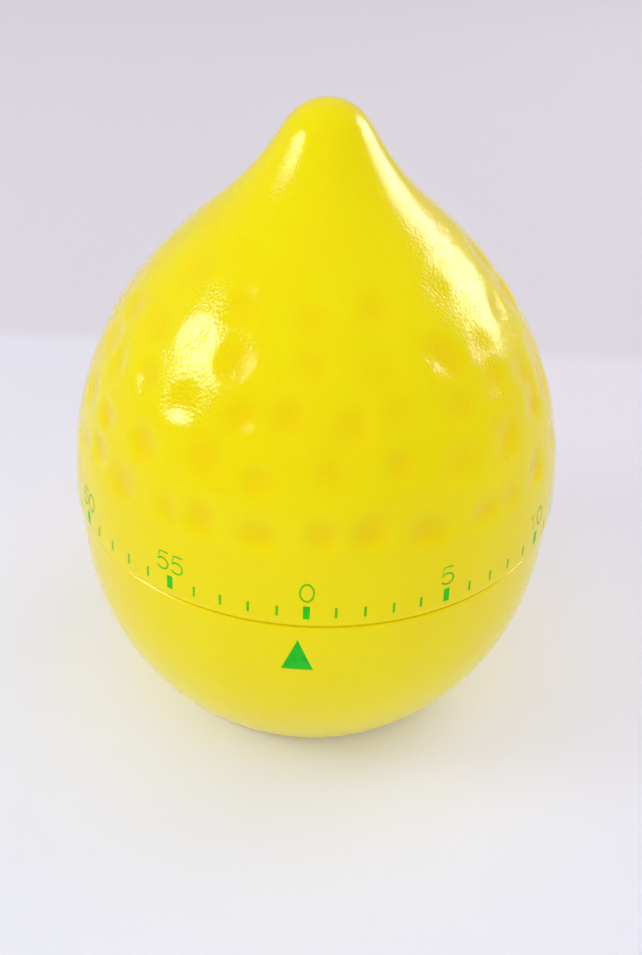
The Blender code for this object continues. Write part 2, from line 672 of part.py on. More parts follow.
def lower_shell(dial_inside):
    outside = cup_outline()
    shoulder = SEAM_HEIGHT - SEAM_GAP
    lip_top = SEAM_HEIGHT + LIP_HEIGHT
    lip_foot_radius = DIAL_RADIUS - SHELL_WALL - LIP_CLEARANCE
    lip_top_radius = radius_at(dial_inside, lip_top) - LIP_CLEARANCE
    lip_root = SEAM_HEIGHT - LIP_HEIGHT
    inside = [
        point
        for point in inset(outside, SHELL_WALL)
        if FLOOR_TOP + FLOOR_CORNER_RISE < point[1] < lip_root - SHELL_WALL
    ]
    pilot = SHANK_RADIUS + HOLE_CLEARANCE
    groove_outer, groove_inner = FOOT_OUTER_RADIUS + FOOT_CLEARANCE, FOOT_INNER_RADIUS - FOOT_CLEARANCE
    groove_top = FOOT_THICKNESS + FOOT_CLEARANCE
    floor_edge = radius_at(inset(outside, SHELL_WALL), FLOOR_TOP) - FLOOR_CORNER_WIDTH
    outline = (
        [
            (0, BELL_PILOT_FLOOR),
            (pilot, BELL_PILOT_FLOOR),
            (pilot, BELL_BOSS_TOP),
            (BELL_POST_RADIUS, BELL_BOSS_TOP),
            (BELL_POST_RADIUS, FLOOR_TOP),
            (floor_edge, FLOOR_TOP),
        ]
        + inside
        + [
            (lip_foot_radius - LIP_WALL, lip_root),
            (lip_top_radius - LIP_WALL, lip_top),
            (lip_top_radius, lip_top),
            (lip_foot_radius, shoulder),
        ]
        + outside[::-1]
        + [
            (groove_outer, UNDERSIDE),
            (groove_outer, groove_top),
            (groove_inner, groove_top),
            (groove_inner, UNDERSIDE),
            (0, UNDERSIDE),
        ]
    )
    shell = turned("lower_shell", outline, (YELLOW, 0.25, 0.0), TURN_STEPS)
    boss_foot = FLOOR_TOP - FLOOR_THICKNESS / 2
    for number, axis in enumerate(screw_axes):
        join(shell, rod(f"boss_{number + 1}", BOSS_RADIUS, boss_foot, BOSS_TOP, 16, parent=axis))
    for number, axis in enumerate(screw_axes):
        shank_hole = rod(f"boss_hole_{number + 1}", pilot, -OVERCUT, BOSS_TOP + OVERCUT, parent=axis)
        recess_radius = HEAD_RADIUS + HOLE_CLEARANCE
        recess = rod(f"head_recess_{number + 1}", recess_radius, -OVERCUT, RECESS_TOP, parent=axis)
        cut(shell, shank_hole, recess)


def foot_ring():
    section = [
        (FOOT_OUTER_RADIUS, FOOT_THICKNESS),
        (FOOT_OUTER_RADIUS, 0),
        (FOOT_INNER_RADIUS, 0),
        (FOOT_INNER_RADIUS, FOOT_THICKNESS),
    ]
    turned("foot_ring", section, (RUBBER, 0.8, 0.0), ROUND_STEPS, closed=True)


# ---- Screws --------------------------------------------------------------------------------------------
def screw(name, seat, tip, axis=None):
    """A screw with a slotted head on its seat, and its shank towards the tip."""
    head, shank = HEAD_RADIUS, SHANK_RADIUS
    points_down = tip < seat
    crown = seat + HEAD_HEIGHT if points_down else seat - HEAD_HEIGHT
    outline = [(0, crown), (head, crown), (head, seat), (shank, seat), (shank, tip), (0, tip)]
    made = turned(name, outline if points_down else outline[::-1], (STEEL, 0.3, 1.0), parent=axis)
    reach, half = head + OVERCUT, SLOT_WIDTH / 2
    slot = [(-reach, -half), (reach, -half), (reach, half), (-reach, half)]
    cut(made, prism(name + "_slot", [slot], crown - SLOT_DEPTH, crown + SLOT_DEPTH, parent=axis))


def screws():
    for i, axis in enumerate(screw_axes, 1):
        screw(f"base_screw_{i}", RECESS_TOP - SEAT_GAP, LOWER_PLATE_TOP + SEAT_GAP + SCREW_ENGAGEMENT, axis)
        seat = UPPER_PLATE_TOP + SEAT_GAP
        screw(f"pillar_screw_{i}", seat, UPPER_PLATE_HEIGHT - SCREW_ENGAGEMENT, axis)


# ---- Frame of the movement -----------------------------------------------------------------------------
def plates():
    pivots = [SECOND, THIRD, ESCAPE, PALLET, STRIKE]
    pivot_hole = PIVOT_RADIUS + PIVOT_CLEARANCE
    screws_at = [polar(SCREW_CIRCLE, angle) for angle in SCREW_ANGLES]
    shared = [circle(pivot_hole, BORE_STEPS, place) for place in pivots]
    shared += [circle(SHANK_RADIUS + HOLE_CLEARANCE, centre=place) for place in screws_at]
    shared.append(circle(HAMMER_ARBOR_RADIUS + PIVOT_CLEARANCE, centre=HAMMER))
    shared.append(circle(SPRING_POST_RADIUS + BORE_CLEARANCE, BORE_STEPS, SPRING_POST))
    rim = circle(PLATE_RADIUS, ROUND_STEPS)
    lower_bore = circle(MAIN_PIVOT_RADIUS + PIVOT_CLEARANCE)
    upper_bore = circle(DIAL_SHAFT_RADIUS + PIVOT_CLEARANCE)
    spring_hole = circle(HAMMER_WIRE + BORE_CLEARANCE, WIRE_HOLE_STEPS, HAMMER_SPRING_FOOT)
    control_holes = [
        circle(STOP_PIN_RADIUS + BORE_CLEARANCE, BORE_STEPS, STOP_PIN),
        circle(CLICK_STUD_RADIUS + BORE_CLEARANCE, BORE_STEPS, DETENT),
        circle(DETENT_WIRE + BORE_CLEARANCE, WIRE_HOLE_STEPS, DETENT_SPRING_FOOT),
    ]
    look = (BRASS, 0.35, 1.0)
    flat("lower_plate", [rim, lower_bore, spring_hole] + shared, LOWER_PLATE_HEIGHT, LOWER_PLATE_TOP, look)
    flat("upper_plate", [rim, upper_bore] + shared + control_holes, UPPER_PLATE_HEIGHT, UPPER_PLATE_TOP, look)


def pillars():
    low, high = LOWER_PLATE_TOP + SEAT_GAP, UPPER_PLATE_HEIGHT - SEAT_GAP
    bore = SHANK_RADIUS + HOLE_CLEARANCE
    depth = SCREW_ENGAGEMENT + 3 * SEAT_GAP
    waist_low, waist_high = low + PILLAR_COLLAR + PILLAR_TAPER, high - PILLAR_COLLAR - PILLAR_TAPER
    outline = [
        (0, high - depth),
        (bore, high - depth),
        (bore, high),
        (PILLAR_RADIUS, high),
        (PILLAR_RADIUS, high - PILLAR_COLLAR),
        (PILLAR_WAIST_RADIUS, waist_high),
        (PILLAR_WAIST_RADIUS, waist_low),
        (PILLAR_RADIUS, low + PILLAR_COLLAR),
        (PILLAR_RADIUS, low),
        (bore, low),
        (bore, low + depth),
        (0, low + depth),
    ]
    for i, axis in enumerate(screw_axes, 1):
        turned(f"pillar_{i}", outline, (BRASS, 0.3, 1.0), parent=axis)


# ---- Arbors and wheels ---------------------------------------------------------------------------------
def pivoted(radius):
    """The outline of an arbor with a pivot at each end, through both plates."""
    low, high = LOWER_PLATE_HEIGHT - PIVOT_PROUD, UPPER_PLATE_TOP + PIVOT_PROUD
    top, bottom = UPPER_PLATE_HEIGHT - END_SHAKE, LOWER_PLATE_TOP + END_SHAKE
    return [
        (0, high),
        (PIVOT_RADIUS, high),
        (PIVOT_RADIUS, top),
        (radius, top),
        (radius, bottom),
        (PIVOT_RADIUS, bottom),
        (PIVOT_RADIUS, low),
        (0, low),
    ]


def pinion_arbor(name, axis, module, level, turn):
    arbor = turned(name, pivoted(ARBOR_RADIUS), (STEEL, 0.25, 1.0), parent=axis)
    low = LOWER_PLATE_TOP + level - PINION_MARGIN
    high = LOWER_PLATE_TOP + level + WHEEL_THICKNESS + PINION_MARGIN
    join(arbor, prism(name + "_leaves", [gear_outline(LEAVES, module, 1)], low, high, parent=axis, turn=turn))


def wheel(name, outlines, axis, level, turn=0.0, look=(BRASS, 0.3, 1.0)):
    low = LOWER_PLATE_TOP + level
    flat(name, outlines, low, low + WHEEL_THICKNESS, look, parent=axis, turn=turn)


def going_train():
    bore = circle(ARBOR_RADIUS + BORE_CLEARANCE, BORE_STEPS)
    second_gaps = windows(root_radius(SECOND_TEETH, SECOND_MODULE) - WHEEL_RIM)
    third_gaps = windows(root_radius(THIRD_TEETH, THIRD_MODULE) - WHEEL_RIM)
    pinion_arbor("second_arbor", second_axis, GREAT_MODULE, GREAT_LEVEL, SECOND_TURN)
    second_teeth = gear_outline(SECOND_TEETH, SECOND_MODULE, 1)
    wheel("second_wheel", [second_teeth, bore] + second_gaps, second_axis, SECOND_LEVEL, SECOND_TURN)
    pinion_arbor("third_arbor", third_axis, SECOND_MODULE, SECOND_LEVEL, THIRD_TURN)
    third_teeth = gear_outline(THIRD_TEETH, THIRD_MODULE, 1)
    wheel("third_wheel", [third_teeth, bore] + third_gaps, third_axis, THIRD_LEVEL, THIRD_TURN)
    pinion_arbor("escape_arbor", escape_axis, THIRD_MODULE, THIRD_LEVEL, ESCAPE_TURN)
    escape_teeth = saw_outline(ESCAPE_TEETH, ESCAPE_TIP_RADIUS, ESCAPE_DEPTH, ESCAPE_LEAN)
    wheel("escape_wheel", [escape_teeth, bore], escape_axis, ESCAPE_LEVEL)


def escapement():
    """The anchor stays just outside the escape wheel's tips over its whole swing."""
    arm = PALLET_ARM_HALF_WIDTH
    reach = ESCAPE_TIP_RADIUS + PALLET_CLEARANCE + PALLET_SWING * PALLET_DISTANCE + arm
    turned("pallet_arbor", pivoted(ARBOR_RADIUS), (STEEL, 0.25, 1.0), parent=pallet_axis)
    low = LOWER_PLATE_TOP + ESCAPE_LEVEL
    facing = direction(PALLET, ESCAPE)
    arms = []
    for side in (-1, 1):
        tip = (PALLET_DISTANCE - reach * math.cos(PALLET_SPREAD), side * reach * math.sin(PALLET_SPREAD))
        arms.append(bar((0, 0), tip, 2 * arm, arm))
    place = {"parent": pallet_axis, "turn": facing}
    high = low + WHEEL_THICKNESS
    bore = ARBOR_RADIUS + BORE_CLEARANCE
    lever = solid("pallet_lever", [arms[0]], low, high, (STEEL, 0.3, 1.0), **place)
    join(lever, prism("pallet_arm", [arms[1]], low, high, **place))
    cut(lever, rod("pallet_bore", bore, low - OVERCUT, high + OVERCUT, BORE_STEPS, parent=pallet_axis))
    half = BALANCE_LENGTH / 2
    outlines = [bar((0, -half), (0, half), BALANCE_HALF_WIDTH), circle(bore, BORE_STEPS)]
    wheel("balance_bar", outlines, pallet_axis, BALANCE_LEVEL, facing)


def solid(name, outlines, low, high, look, **place):
    """A flat piece whose mesh can be cut or joined."""
    guide = helper(name + "_outline", curve_of(name, outlines, low, high))
    mesh = mesh_of(guide)
    bpy.data.objects.remove(guide)
    return shown(name, mesh, look, height=(low + high) / 2, **place)


# ---- Main arbor, mainspring, ratchet and click ---------------------------------------------------------
def main_arbor():
    groove = DIAL_SHAFT_RADIUS - CLIP_GROOVE_DEPTH
    slack = SEAT_GAP / 2
    outline = [
        (0, SHAFT_TOP),
        (DIAL_SHAFT_RADIUS, SHAFT_TOP),
        (DIAL_SHAFT_RADIUS, CLIP_HEIGHT + CLIP_THICKNESS + slack),
        (groove, CLIP_HEIGHT + CLIP_THICKNESS + slack),
        (groove, CLIP_HEIGHT - slack),
        (DIAL_SHAFT_RADIUS, CLIP_HEIGHT - slack),
        (DIAL_SHAFT_RADIUS, UPPER_PLATE_HEIGHT - END_SHAKE),
        (MAIN_ARBOR_RADIUS, UPPER_PLATE_HEIGHT - END_SHAKE),
        (MAIN_ARBOR_RADIUS, LOWER_PLATE_TOP + END_SHAKE),
        (MAIN_PIVOT_RADIUS, LOWER_PLATE_TOP + END_SHAKE),
        (MAIN_PIVOT_RADIUS, LOWER_PLATE_HEIGHT - PIVOT_PROUD),
        (0, LOWER_PLATE_HEIGHT - PIVOT_PROUD),
    ]
    arbor = turned("main_arbor", outline, (STEEL, 0.25, 1.0))
    far = 2 * DIAL_SHAFT_RADIUS
    beyond_flat = [(-far, -far), (far, -far), (far, -DIAL_SHAFT_FLAT), (-far, -DIAL_SHAFT_FLAT)]
    cut(arbor, prism("shaft_flat", [beyond_flat], UPPER_PLATE_TOP + SEAT_GAP, SHAFT_TOP + OVERCUT))


def spiral_route():
    """The mainspring's middle line: round the arbor, out in a spiral, and round its post."""
    sweep = math.tau * SPRING_TURNS
    start = SPRING_POST_ANGLE - SPRING_LEAD - sweep
    count = SPRING_TURN_POINTS * SPRING_TURNS
    inner = MAIN_ARBOR_RADIUS + SPRING_ARBOR_CLEARANCE + SPRING_STRIP / 2
    route = []
    for i in range(count + 1):
        share = i / count
        radius = inner + (SPRING_OUTER_RADIUS - inner) * share
        route.append(polar(radius, start + sweep * share))
    eye = SPRING_POST_RADIUS + BORE_CLEARANCE + SPRING_STRIP
    hook_start, hook_end = SPRING_POST_ANGLE + SPRING_HOOK_START, SPRING_POST_ANGLE + SPRING_HOOK_END
    hook = arc(eye, hook_start, hook_end, 11, SPRING_POST)
    return route + hook


def mainspring():
    route = spiral_route()
    strip = inset(route, SPRING_STRIP / 2) + inset(route, -SPRING_STRIP / 2)[::-1]
    low = LOWER_PLATE_TOP + SPRING_LEVEL
    flat("mainspring", [strip], low, low + SPRING_HEIGHT, (BLUED, 0.3, 1.0))
    post_axis = axis_at("spring_post_axis", SPRING_POST_CIRCLE, SPRING_POST_ANGLE)
    post = plain_rod(SPRING_POST_RADIUS, LOWER_PLATE_HEIGHT, UPPER_PLATE_TOP)
    turned("spring_post", post, (STEEL, 0.3, 1.0), parent=post_axis)


def great_wheel():
    bore = circle(MAIN_ARBOR_RADIUS + PIVOT_CLEARANCE)
    stud_hole = circle(CLICK_STUD_RADIUS + BORE_CLEARANCE, BORE_STEPS, CLICK)
    spring_hole = circle(CLICK_WIRE + BORE_CLEARANCE, WIRE_HOLE_STEPS, CLICK_SPRING_FOOT)
    teeth = gear_outline(GREAT_TEETH, GREAT_MODULE, 1)
    wheel("great_wheel", [teeth, bore, stud_hole, spring_hole], None, GREAT_LEVEL, GREAT_TURN)


def ratchet_and_click():
    bore = circle(MAIN_ARBOR_RADIUS + BORE_CLEARANCE)
    tip_angle = CLICK_ANGLE - CLICK_SPAN
    turn = tip_angle - RATCHET_LEAN * math.tau / RATCHET_TEETH
    saw = saw_outline(RATCHET_TEETH, RATCHET_RADIUS, RATCHET_DEPTH, RATCHET_LEAN)
    wheel("ratchet_wheel", [saw, bore], None, RATCHET_LEVEL, turn, (STEEL, 0.3, 1.0))
    offset = (CLICK_TIP[0] - CLICK[0], CLICK_TIP[1] - CLICK[1])
    eye = circle(CLICK_STUD_RADIUS + BORE_CLEARANCE, BORE_STEPS)
    pawl = bar((0, 0), offset, CLICK_EYE_RADIUS, CLICK_TIP_RADIUS)
    wheel("click_pawl", [pawl, eye], click_axis, RATCHET_LEVEL, look=(STEEL, 0.3, 1.0))
    foot = LOWER_PLATE_TOP + GREAT_LEVEL
    pawl_low = LOWER_PLATE_TOP + RATCHET_LEVEL
    stud("click_stud", click_axis, CLICK_EYE_RADIUS, pawl_low + WHEEL_THICKNESS + SEAT_GAP / 2, foot)
    middle = pawl_low + WHEEL_THICKNESS / 2
    leg_spring("click_spring", CLICK_SPRING_FOOT, CLICK_SPRING_END, foot, middle, CLICK_WIRE)


def stud(name, axis, head_radius, seat, foot):
    """A shouldered stud that a lever turns on."""
    outline = [
        (0, seat + STUD_HEAD_HEIGHT),
        (head_radius, seat + STUD_HEAD_HEIGHT),
        (head_radius, seat),
        (CLICK_STUD_RADIUS, seat),
        (CLICK_STUD_RADIUS, foot),
        (0, foot),
    ]
    turned(name, outline, (STEEL, 0.3, 1.0), BORE_STEPS, parent=axis)


def leg_spring(name, foot, end, foot_height, height, radius):
    """A wire spring that stands in a hole and reaches over to its lever."""
    bend = beside(foot, end, 2 * radius, 0)
    route = [(*foot, foot_height), (*foot, height - 2 * radius), (*bend, height), (*end, height)]
    wire(name, route, radius, (BLUED, 0.3, 1.0))


# ---- Strike train, hammer and bell ---------------------------------------------------------------------
def strike_train():
    pinion_arbor("strike_arbor", strike_axis, GREAT_MODULE, GREAT_LEVEL, STRIKE_TURN)
    star = saw_outline(STRIKE_TEETH, STRIKE_TIP_RADIUS, STRIKE_DEPTH, STRIKE_LEAN)
    bore = circle(ARBOR_RADIUS + BORE_CLEARANCE, BORE_STEPS)
    wheel("strike_wheel", [star, bore], strike_axis, STRIKE_LEVEL)


def hammer():
    """The tail stays just outside the star's tips, and swings away from them as the hammer lifts."""
    arm_low = HAMMER_ARM_TOP - LEVER_THICKNESS
    outline = plain_rod(HAMMER_ARBOR_RADIUS, arm_low - PIVOT_PROUD, UPPER_PLATE_TOP + PIVOT_PROUD)
    turned("hammer_arbor", outline, (STEEL, 0.25, 1.0), parent=hammer_axis)
    half = LEVER_WIDTH / 2
    apart = math.dist(HAMMER, STRIKE)
    lean = math.asin((STRIKE_TIP_RADIUS + TAIL_CLEARANCE + half) / apart)
    tail_end = polar(apart * math.cos(lean) + half, direction(HAMMER, STRIKE) - lean)
    level = LOWER_PLATE_TOP + STRIKE_LEVEL
    top, eye_low = level + WHEEL_THICKNESS, level - LEVER_THICKNESS / 2
    tail_bar = bar((0, 0), tail_end, half)
    tail = solid("hammer_tail", [tail_bar], level, top, (STEEL, 0.3, 1.0), parent=hammer_axis)
    join(tail, rod("tail_eye", LEVER_EYE_RADIUS, eye_low, top, parent=hammer_axis))
    bore = HAMMER_ARBOR_RADIUS + BORE_CLEARANCE
    cut(tail, rod("tail_bore", bore, eye_low - OVERCUT, top + OVERCUT, parent=hammer_axis))
    head = (HAMMER_HEAD[0] - HAMMER[0], HAMMER_HEAD[1] - HAMMER[1])
    arm = [bar((0, 0), head, LEVER_EYE_RADIUS, LEVER_WIDTH), circle(bore, BORE_STEPS)]
    arm.append(circle(HAMMER_STEM_RADIUS + BORE_CLEARANCE, BORE_STEPS, head))
    flat("hammer_arm", arm, arm_low, HAMMER_ARM_TOP, (STEEL, 0.3, 1.0), parent=hammer_axis)
    head_angle = direction((0, 0), HAMMER_HEAD)
    head_axis = axis_at("hammer_head_axis", HAMMER_HEAD_CIRCLE, head_angle)
    seat = HAMMER_ARM_TOP + SEAT_GAP
    section = [
        (0, seat + HAMMER_HEAD_HEIGHT),
        (HAMMER_HEAD_RADIUS, seat + HAMMER_HEAD_HEIGHT),
        (HAMMER_HEAD_RADIUS, seat),
        (HAMMER_STEM_RADIUS, seat),
        (HAMMER_STEM_RADIUS, arm_low - SEAT_GAP),
        (0, arm_low - SEAT_GAP),
    ]
    turned("hammer_head", section, (BRASS, 0.3, 1.0), parent=head_axis)


def hammer_spring():
    """A torsion coil round the hammer's arbor, with one leg in the lower plate."""
    lean = direction(HAMMER, HAMMER_HEAD)
    start, sweep = lean - math.pi / 2, math.tau * HAMMER_COIL_TURNS
    base = LOWER_PLATE_TOP + 3 * HAMMER_WIRE
    steps = COIL_TURN_POINTS * HAMMER_COIL_TURNS
    entry = polar(HAMMER_COIL_RADIUS, start, HAMMER)
    foot = HAMMER_SPRING_FOOT
    bend = beside(foot, entry, 2 * HAMMER_WIRE, 0)
    route = [(*foot, LOWER_PLATE_HEIGHT), (*foot, base - HAMMER_WIRE), (*bend, base)]
    for i in range(steps + 1):
        share = i / steps
        height = base + HAMMER_COIL_PITCH * HAMMER_COIL_TURNS * share
        route.append((*polar(HAMMER_COIL_RADIUS, start - sweep * share, HAMMER), height))
    route.append((*polar(HAMMER_LEG, lean + math.pi, entry), route[-1][2]))
    wire("hammer_spring", route, HAMMER_WIRE, (BLUED, 0.3, 1.0))


def bell():
    low, rim = BELL_FLOOR, BELL_FLOOR + BELL_HEIGHT
    flat_edge = (BELL_FLAT_RADIUS, low)
    side = bezier(flat_edge, (BELL_FLAT_PULL, 0), (0, BELL_RIM_PULL), (BELL_RADIUS, rim), 4)
    outside = [flat_edge] + side
    inside = inset(outside, BELL_WALL)
    hole = SHANK_RADIUS + HOLE_CLEARANCE
    section = outside[::-1] + [(hole, low), (hole, low + BELL_WALL)] + inside
    turned("bell", section, (STEEL, 0.2, 1.0), ROUND_STEPS, closed=True)
    post_low, post_high = BELL_BOSS_TOP + SEAT_GAP, BELL_FLOOR - SEAT_GAP
    post = BELL_POST_RADIUS
    sleeve = [(post, post_high), (post, post_low), (hole, post_low), (hole, post_high)]
    turned("bell_post", sleeve, (BRASS, 0.3, 1.0), closed=True)
    screw("bell_screw", BELL_FLOOR + BELL_WALL + SEAT_GAP, BELL_PILOT_FLOOR + HOLE_CLEARANCE)


# ---- Dial control --------------------------------------------------------------------------------------
def dial_control():
    d_hole = d_shape(DIAL_SHAFT_RADIUS + BORE_CLEARANCE, DIAL_SHAFT_FLAT + BORE_CLEARANCE)
    notch, nose = NOTCH_HALF_ANGLE, DETENT_NOSE_ANGLE
    rim = arc(CAM_RADIUS, nose + notch, nose + math.tau - notch, ROUND_STEPS)
    rim.append(polar(CAM_RADIUS - NOTCH_DEPTH, nose + math.tau - notch / 2))
    rim.append(polar(CAM_RADIUS - NOTCH_DEPTH, nose + notch / 2))
    flat("cam_disc", [rim, d_hole], CAM_HEIGHT, CAM_HEIGHT + CAM_THICKNESS, (BRASS, 0.3, 1.0))
    clear_of_pin = STOP_PIN_RADIUS + STOP_ARM_WIDTH / 2 + STOP_CLEARANCE
    arm_angle = STOP_PIN_ANGLE - clear_of_pin / STOP_RADIUS
    half = STOP_ARM_WIDTH / 2
    opening = math.asin(half / STOP_HUB_RADIUS)
    end = STOP_RADIUS + STOP_PIN_RADIUS
    outline = arc(STOP_HUB_RADIUS, arm_angle + opening, arm_angle + math.tau - opening, 24)
    outline += [polar(end, arm_angle - half / end), polar(end, arm_angle + half / end)]
    low = STOP_ARM_HEIGHT
    flat("stop_arm", [outline, d_hole], low, low + CAM_THICKNESS, (STEEL, 0.3, 1.0))
    pin_axis = axis_at("stop_pin_axis", STOP_RADIUS, STOP_PIN_ANGLE)
    pin = plain_rod(STOP_PIN_RADIUS, UPPER_PLATE_HEIGHT, low + CAM_THICKNESS)
    turned("stop_pin", pin, (STEEL, 0.3, 1.0), BORE_STEPS, parent=pin_axis)
    inner = DIAL_SHAFT_RADIUS - CLIP_GROOVE_DEPTH + SEAT_GAP
    start, end = CLIP_HALF_OPENING, math.tau - CLIP_HALF_OPENING
    clip = arc(CLIP_RADIUS, start, end, 20) + arc(inner, end, start, 16)
    flat("arbor_clip", [clip], CLIP_HEIGHT, CLIP_HEIGHT + CLIP_THICKNESS, (STEEL, 0.3, 1.0))


def detent():
    nose = (DETENT_NOSE[0] - DETENT[0], DETENT_NOSE[1] - DETENT[1])
    lever = [bar((0, 0), nose, DETENT_EYE_RADIUS, DETENT_NOSE_RADIUS)]
    lever.append(circle(CLICK_STUD_RADIUS + BORE_CLEARANCE, BORE_STEPS))
    high = CAM_HEIGHT + CAM_THICKNESS
    flat("detent_lever", lever, CAM_HEIGHT, high, (STEEL, 0.3, 1.0), parent=detent_axis)
    stud("detent_stud", detent_axis, DETENT_EYE_RADIUS, high + SEAT_GAP / 2, UPPER_PLATE_HEIGHT)
    foot, middle = UPPER_PLATE_HEIGHT, CAM_HEIGHT + CAM_THICKNESS / 2
    leg_spring("detent_spring", DETENT_SPRING_FOOT, DETENT_SPRING_END, foot, middle, DETENT_WIRE)


# ---- Build ---------------------------------------------------------------------------------------------
lower_shell(upper_shell())
foot_ring()
screws()
plates()
pillars()
going_train()
escapement()
main_arbor()
mainspring()
great_wheel()
ratchet_and_click()
strike_train()
hammer()
hammer_spring()
bell()
dial_control()
detent()
for piece in PARTS.objects:
    if piece.type == "MESH":
        piece.data.shade_smooth()
        piece.data.set_sharp_from_angle(angle=math.radians(40))
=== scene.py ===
"""The looks of a wind-up kitchen timer in the shape of a lemon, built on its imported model.

Metres, in the model's own frame: the origin is the centre of the underside, +Z is up, and the front of the
timer, with its pointer, faces -Y.
"""
import json
import math
import random

import bmesh
import bpy
from mathutils import Matrix, Vector, kdtree, noise

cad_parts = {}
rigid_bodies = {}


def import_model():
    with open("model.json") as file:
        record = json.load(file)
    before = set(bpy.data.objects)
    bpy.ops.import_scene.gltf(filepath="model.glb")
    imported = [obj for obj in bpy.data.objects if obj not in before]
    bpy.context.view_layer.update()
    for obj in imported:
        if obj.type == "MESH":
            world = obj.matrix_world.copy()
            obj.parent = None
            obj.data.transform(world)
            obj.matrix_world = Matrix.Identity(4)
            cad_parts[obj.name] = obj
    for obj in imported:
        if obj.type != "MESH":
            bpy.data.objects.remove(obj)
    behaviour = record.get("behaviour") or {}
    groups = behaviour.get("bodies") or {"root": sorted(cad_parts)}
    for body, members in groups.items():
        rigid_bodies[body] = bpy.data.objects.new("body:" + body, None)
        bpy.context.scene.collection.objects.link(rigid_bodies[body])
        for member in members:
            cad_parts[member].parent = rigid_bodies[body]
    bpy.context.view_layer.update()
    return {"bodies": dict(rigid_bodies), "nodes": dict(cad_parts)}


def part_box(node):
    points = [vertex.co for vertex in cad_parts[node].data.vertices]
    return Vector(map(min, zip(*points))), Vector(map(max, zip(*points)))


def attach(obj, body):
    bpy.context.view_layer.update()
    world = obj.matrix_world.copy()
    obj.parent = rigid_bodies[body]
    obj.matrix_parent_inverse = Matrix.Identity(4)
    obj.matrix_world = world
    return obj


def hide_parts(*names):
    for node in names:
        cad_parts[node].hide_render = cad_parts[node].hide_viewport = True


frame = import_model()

dial_low, dial_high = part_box("upper_shell")
cup_low, cup_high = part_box("lower_shell")
foot_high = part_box("foot_ring")[1]
shaft_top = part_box("main_arbor")[1].z

# ---- Shells, as the model has them ----------------------------------------------------------------------
TOTAL_HEIGHT = dial_high.z
DIAL_RADIUS = dial_high.x
HUB_MOUTH = dial_low.z
UNDERSIDE = cup_low.z
LIP_HEIGHT = 0.0032
SEAM_HEIGHT = cup_high.z - LIP_HEIGHT
SEAM_GAP = 0.00035
SHELL_WALL = 0.0018
SHOULDER_PULL = 0.0155
NECK_RADIUS = 0.01257
NECK_DROP = 0.0118
NECK_LEAN = math.radians(50.9)
NECK_PULL_BELOW = 0.0140
NECK_PULL_ABOVE = 0.0050
NIPPLE_RADIUS = 0.00494
NIPPLE_DROP = 0.0030
NIPPLE_LEAN = math.radians(32.1)
NIPPLE_PULL_BELOW = 0.0032
NIPPLE_PULL_ABOVE = 0.0028
TIP_FLAT = 0.0015
CUP_RADIUS = DIAL_RADIUS - 0.00035
BASE_RADIUS = 0.0201
BASE_LEAN = math.radians(46.5)
BASE_PULL = 0.0140
CUP_PULL = 0.0066
FLOOR_TOP = UNDERSIDE + 0.0020
FLOOR_CORNER_WIDTH = 0.0010
FLOOR_CORNER_RISE = 0.0005
LIP_WALL = 0.0013
LIP_CLEARANCE = 0.00035
FOOT_INNER_RADIUS = 0.0102
FOOT_OUTER_RADIUS = foot_high.x
FOOT_TOP = foot_high.z
FOOT_CLEARANCE = 0.0002
HUB_RADIUS = 0.0038
HUB_SHOULDER = 0.00114
SOCKET_RADIUS = 0.0019
SOCKET_FLAT = 0.0013
SHAFT_CLEARANCE = 0.0001
WEB_THICKNESS = 0.0012
WEB_RISE = 0.0140
BOSS_RADIUS = 0.0027
BOSS_TOP = 0.0109
SCREW_CIRCLE = 0.0173
SCREW_ANGLES = tuple(math.radians(angle) for angle in (90, 210, 330))
RECESS_RADIUS = 0.00205
RECESS_TOP = UNDERSIDE + 0.0036
SCREW_HOLE_RADIUS = 0.0011
BELL_POST_RADIUS = 0.0024
BELL_BOSS_TOP = FLOOR_TOP + 0.0006
BELL_PILOT_FLOOR = UNDERSIDE + 0.0009
OVERLAP = 0.001  # how far a cutter, or a solid that is joined, runs past the other

# ---- The fine surface -----------------------------------------------------------------------------------
RIM_ROUND = 0.0006  # the dial's edge at the seam
CUP_RIM_ROUND = 0.00015
LIP_ROUND = 0.00025
BOSS_ROUND = 0.0002
BASE_ROUND = 0.0012  # where the cup meets its flat underside
CROWN_RADIUS = 0.0015  # the dial's inside closes over from here
DIAL_STEPS, CUP_STEPS, FOOT_STEPS, HUB_STEPS, SOCKET_STEPS = 330, 240, 160, 64, 40
DIAL_FINENESS, CUP_FINENESS = 24, 48
WALL_FINENESS = 8  # for walls that are worked out but not seen
PRINT_FINENESS = 60
DIAL_INNER_STEP, CUP_INNER_STEP = 4, 3  # the insides keep every fourth or third point
SHADING_BREAK = math.radians(38)
FOOT_ROUND = 0.00022
SOLE_GROOVES = (2 / 3, 1 / 3)  # across the ring, from its inner edge
SOLE_GROOVE_HALF, SOLE_GROOVE_DEPTH = 0.00016, 0.00014
MERGE = 1e-7
BOOLEAN_MERGE = 1e-6  # merges the slivers that a Boolean leaves
BAND_TOP = 0.0362  # the printed band below this is smooth
BAND_FADE = 0.002
DIMPLE_ROWS = (  # height, how many go round, and where the first stands, in degrees from the front
    (0.0391, 30, 2.0),
    (0.0449, 24, 3.5),
    (0.0498, 26, -5.0),
    (0.0545, 20, -1.0),
    (0.0588, 15, -5.0),
)
DIMPLE_STRAY = 0.0011
DIMPLE_REACH = (0.0024, 0.0032)
DIMPLE_DEPTH = (0.00024, 0.00050)
DIMPLE_FADING = 0.18  # how much shallower each row up may be
DIMPLE_WANDER, DIMPLE_GRAIN = 0.35, 330.0  # how uneven their edges are
DIMPLE_SEED = 11
SWELL_HEIGHT, SWELL_GRAIN, SWELL_LEVEL = 0.00011, 170.0, 0.45  # the skin's wandering between them
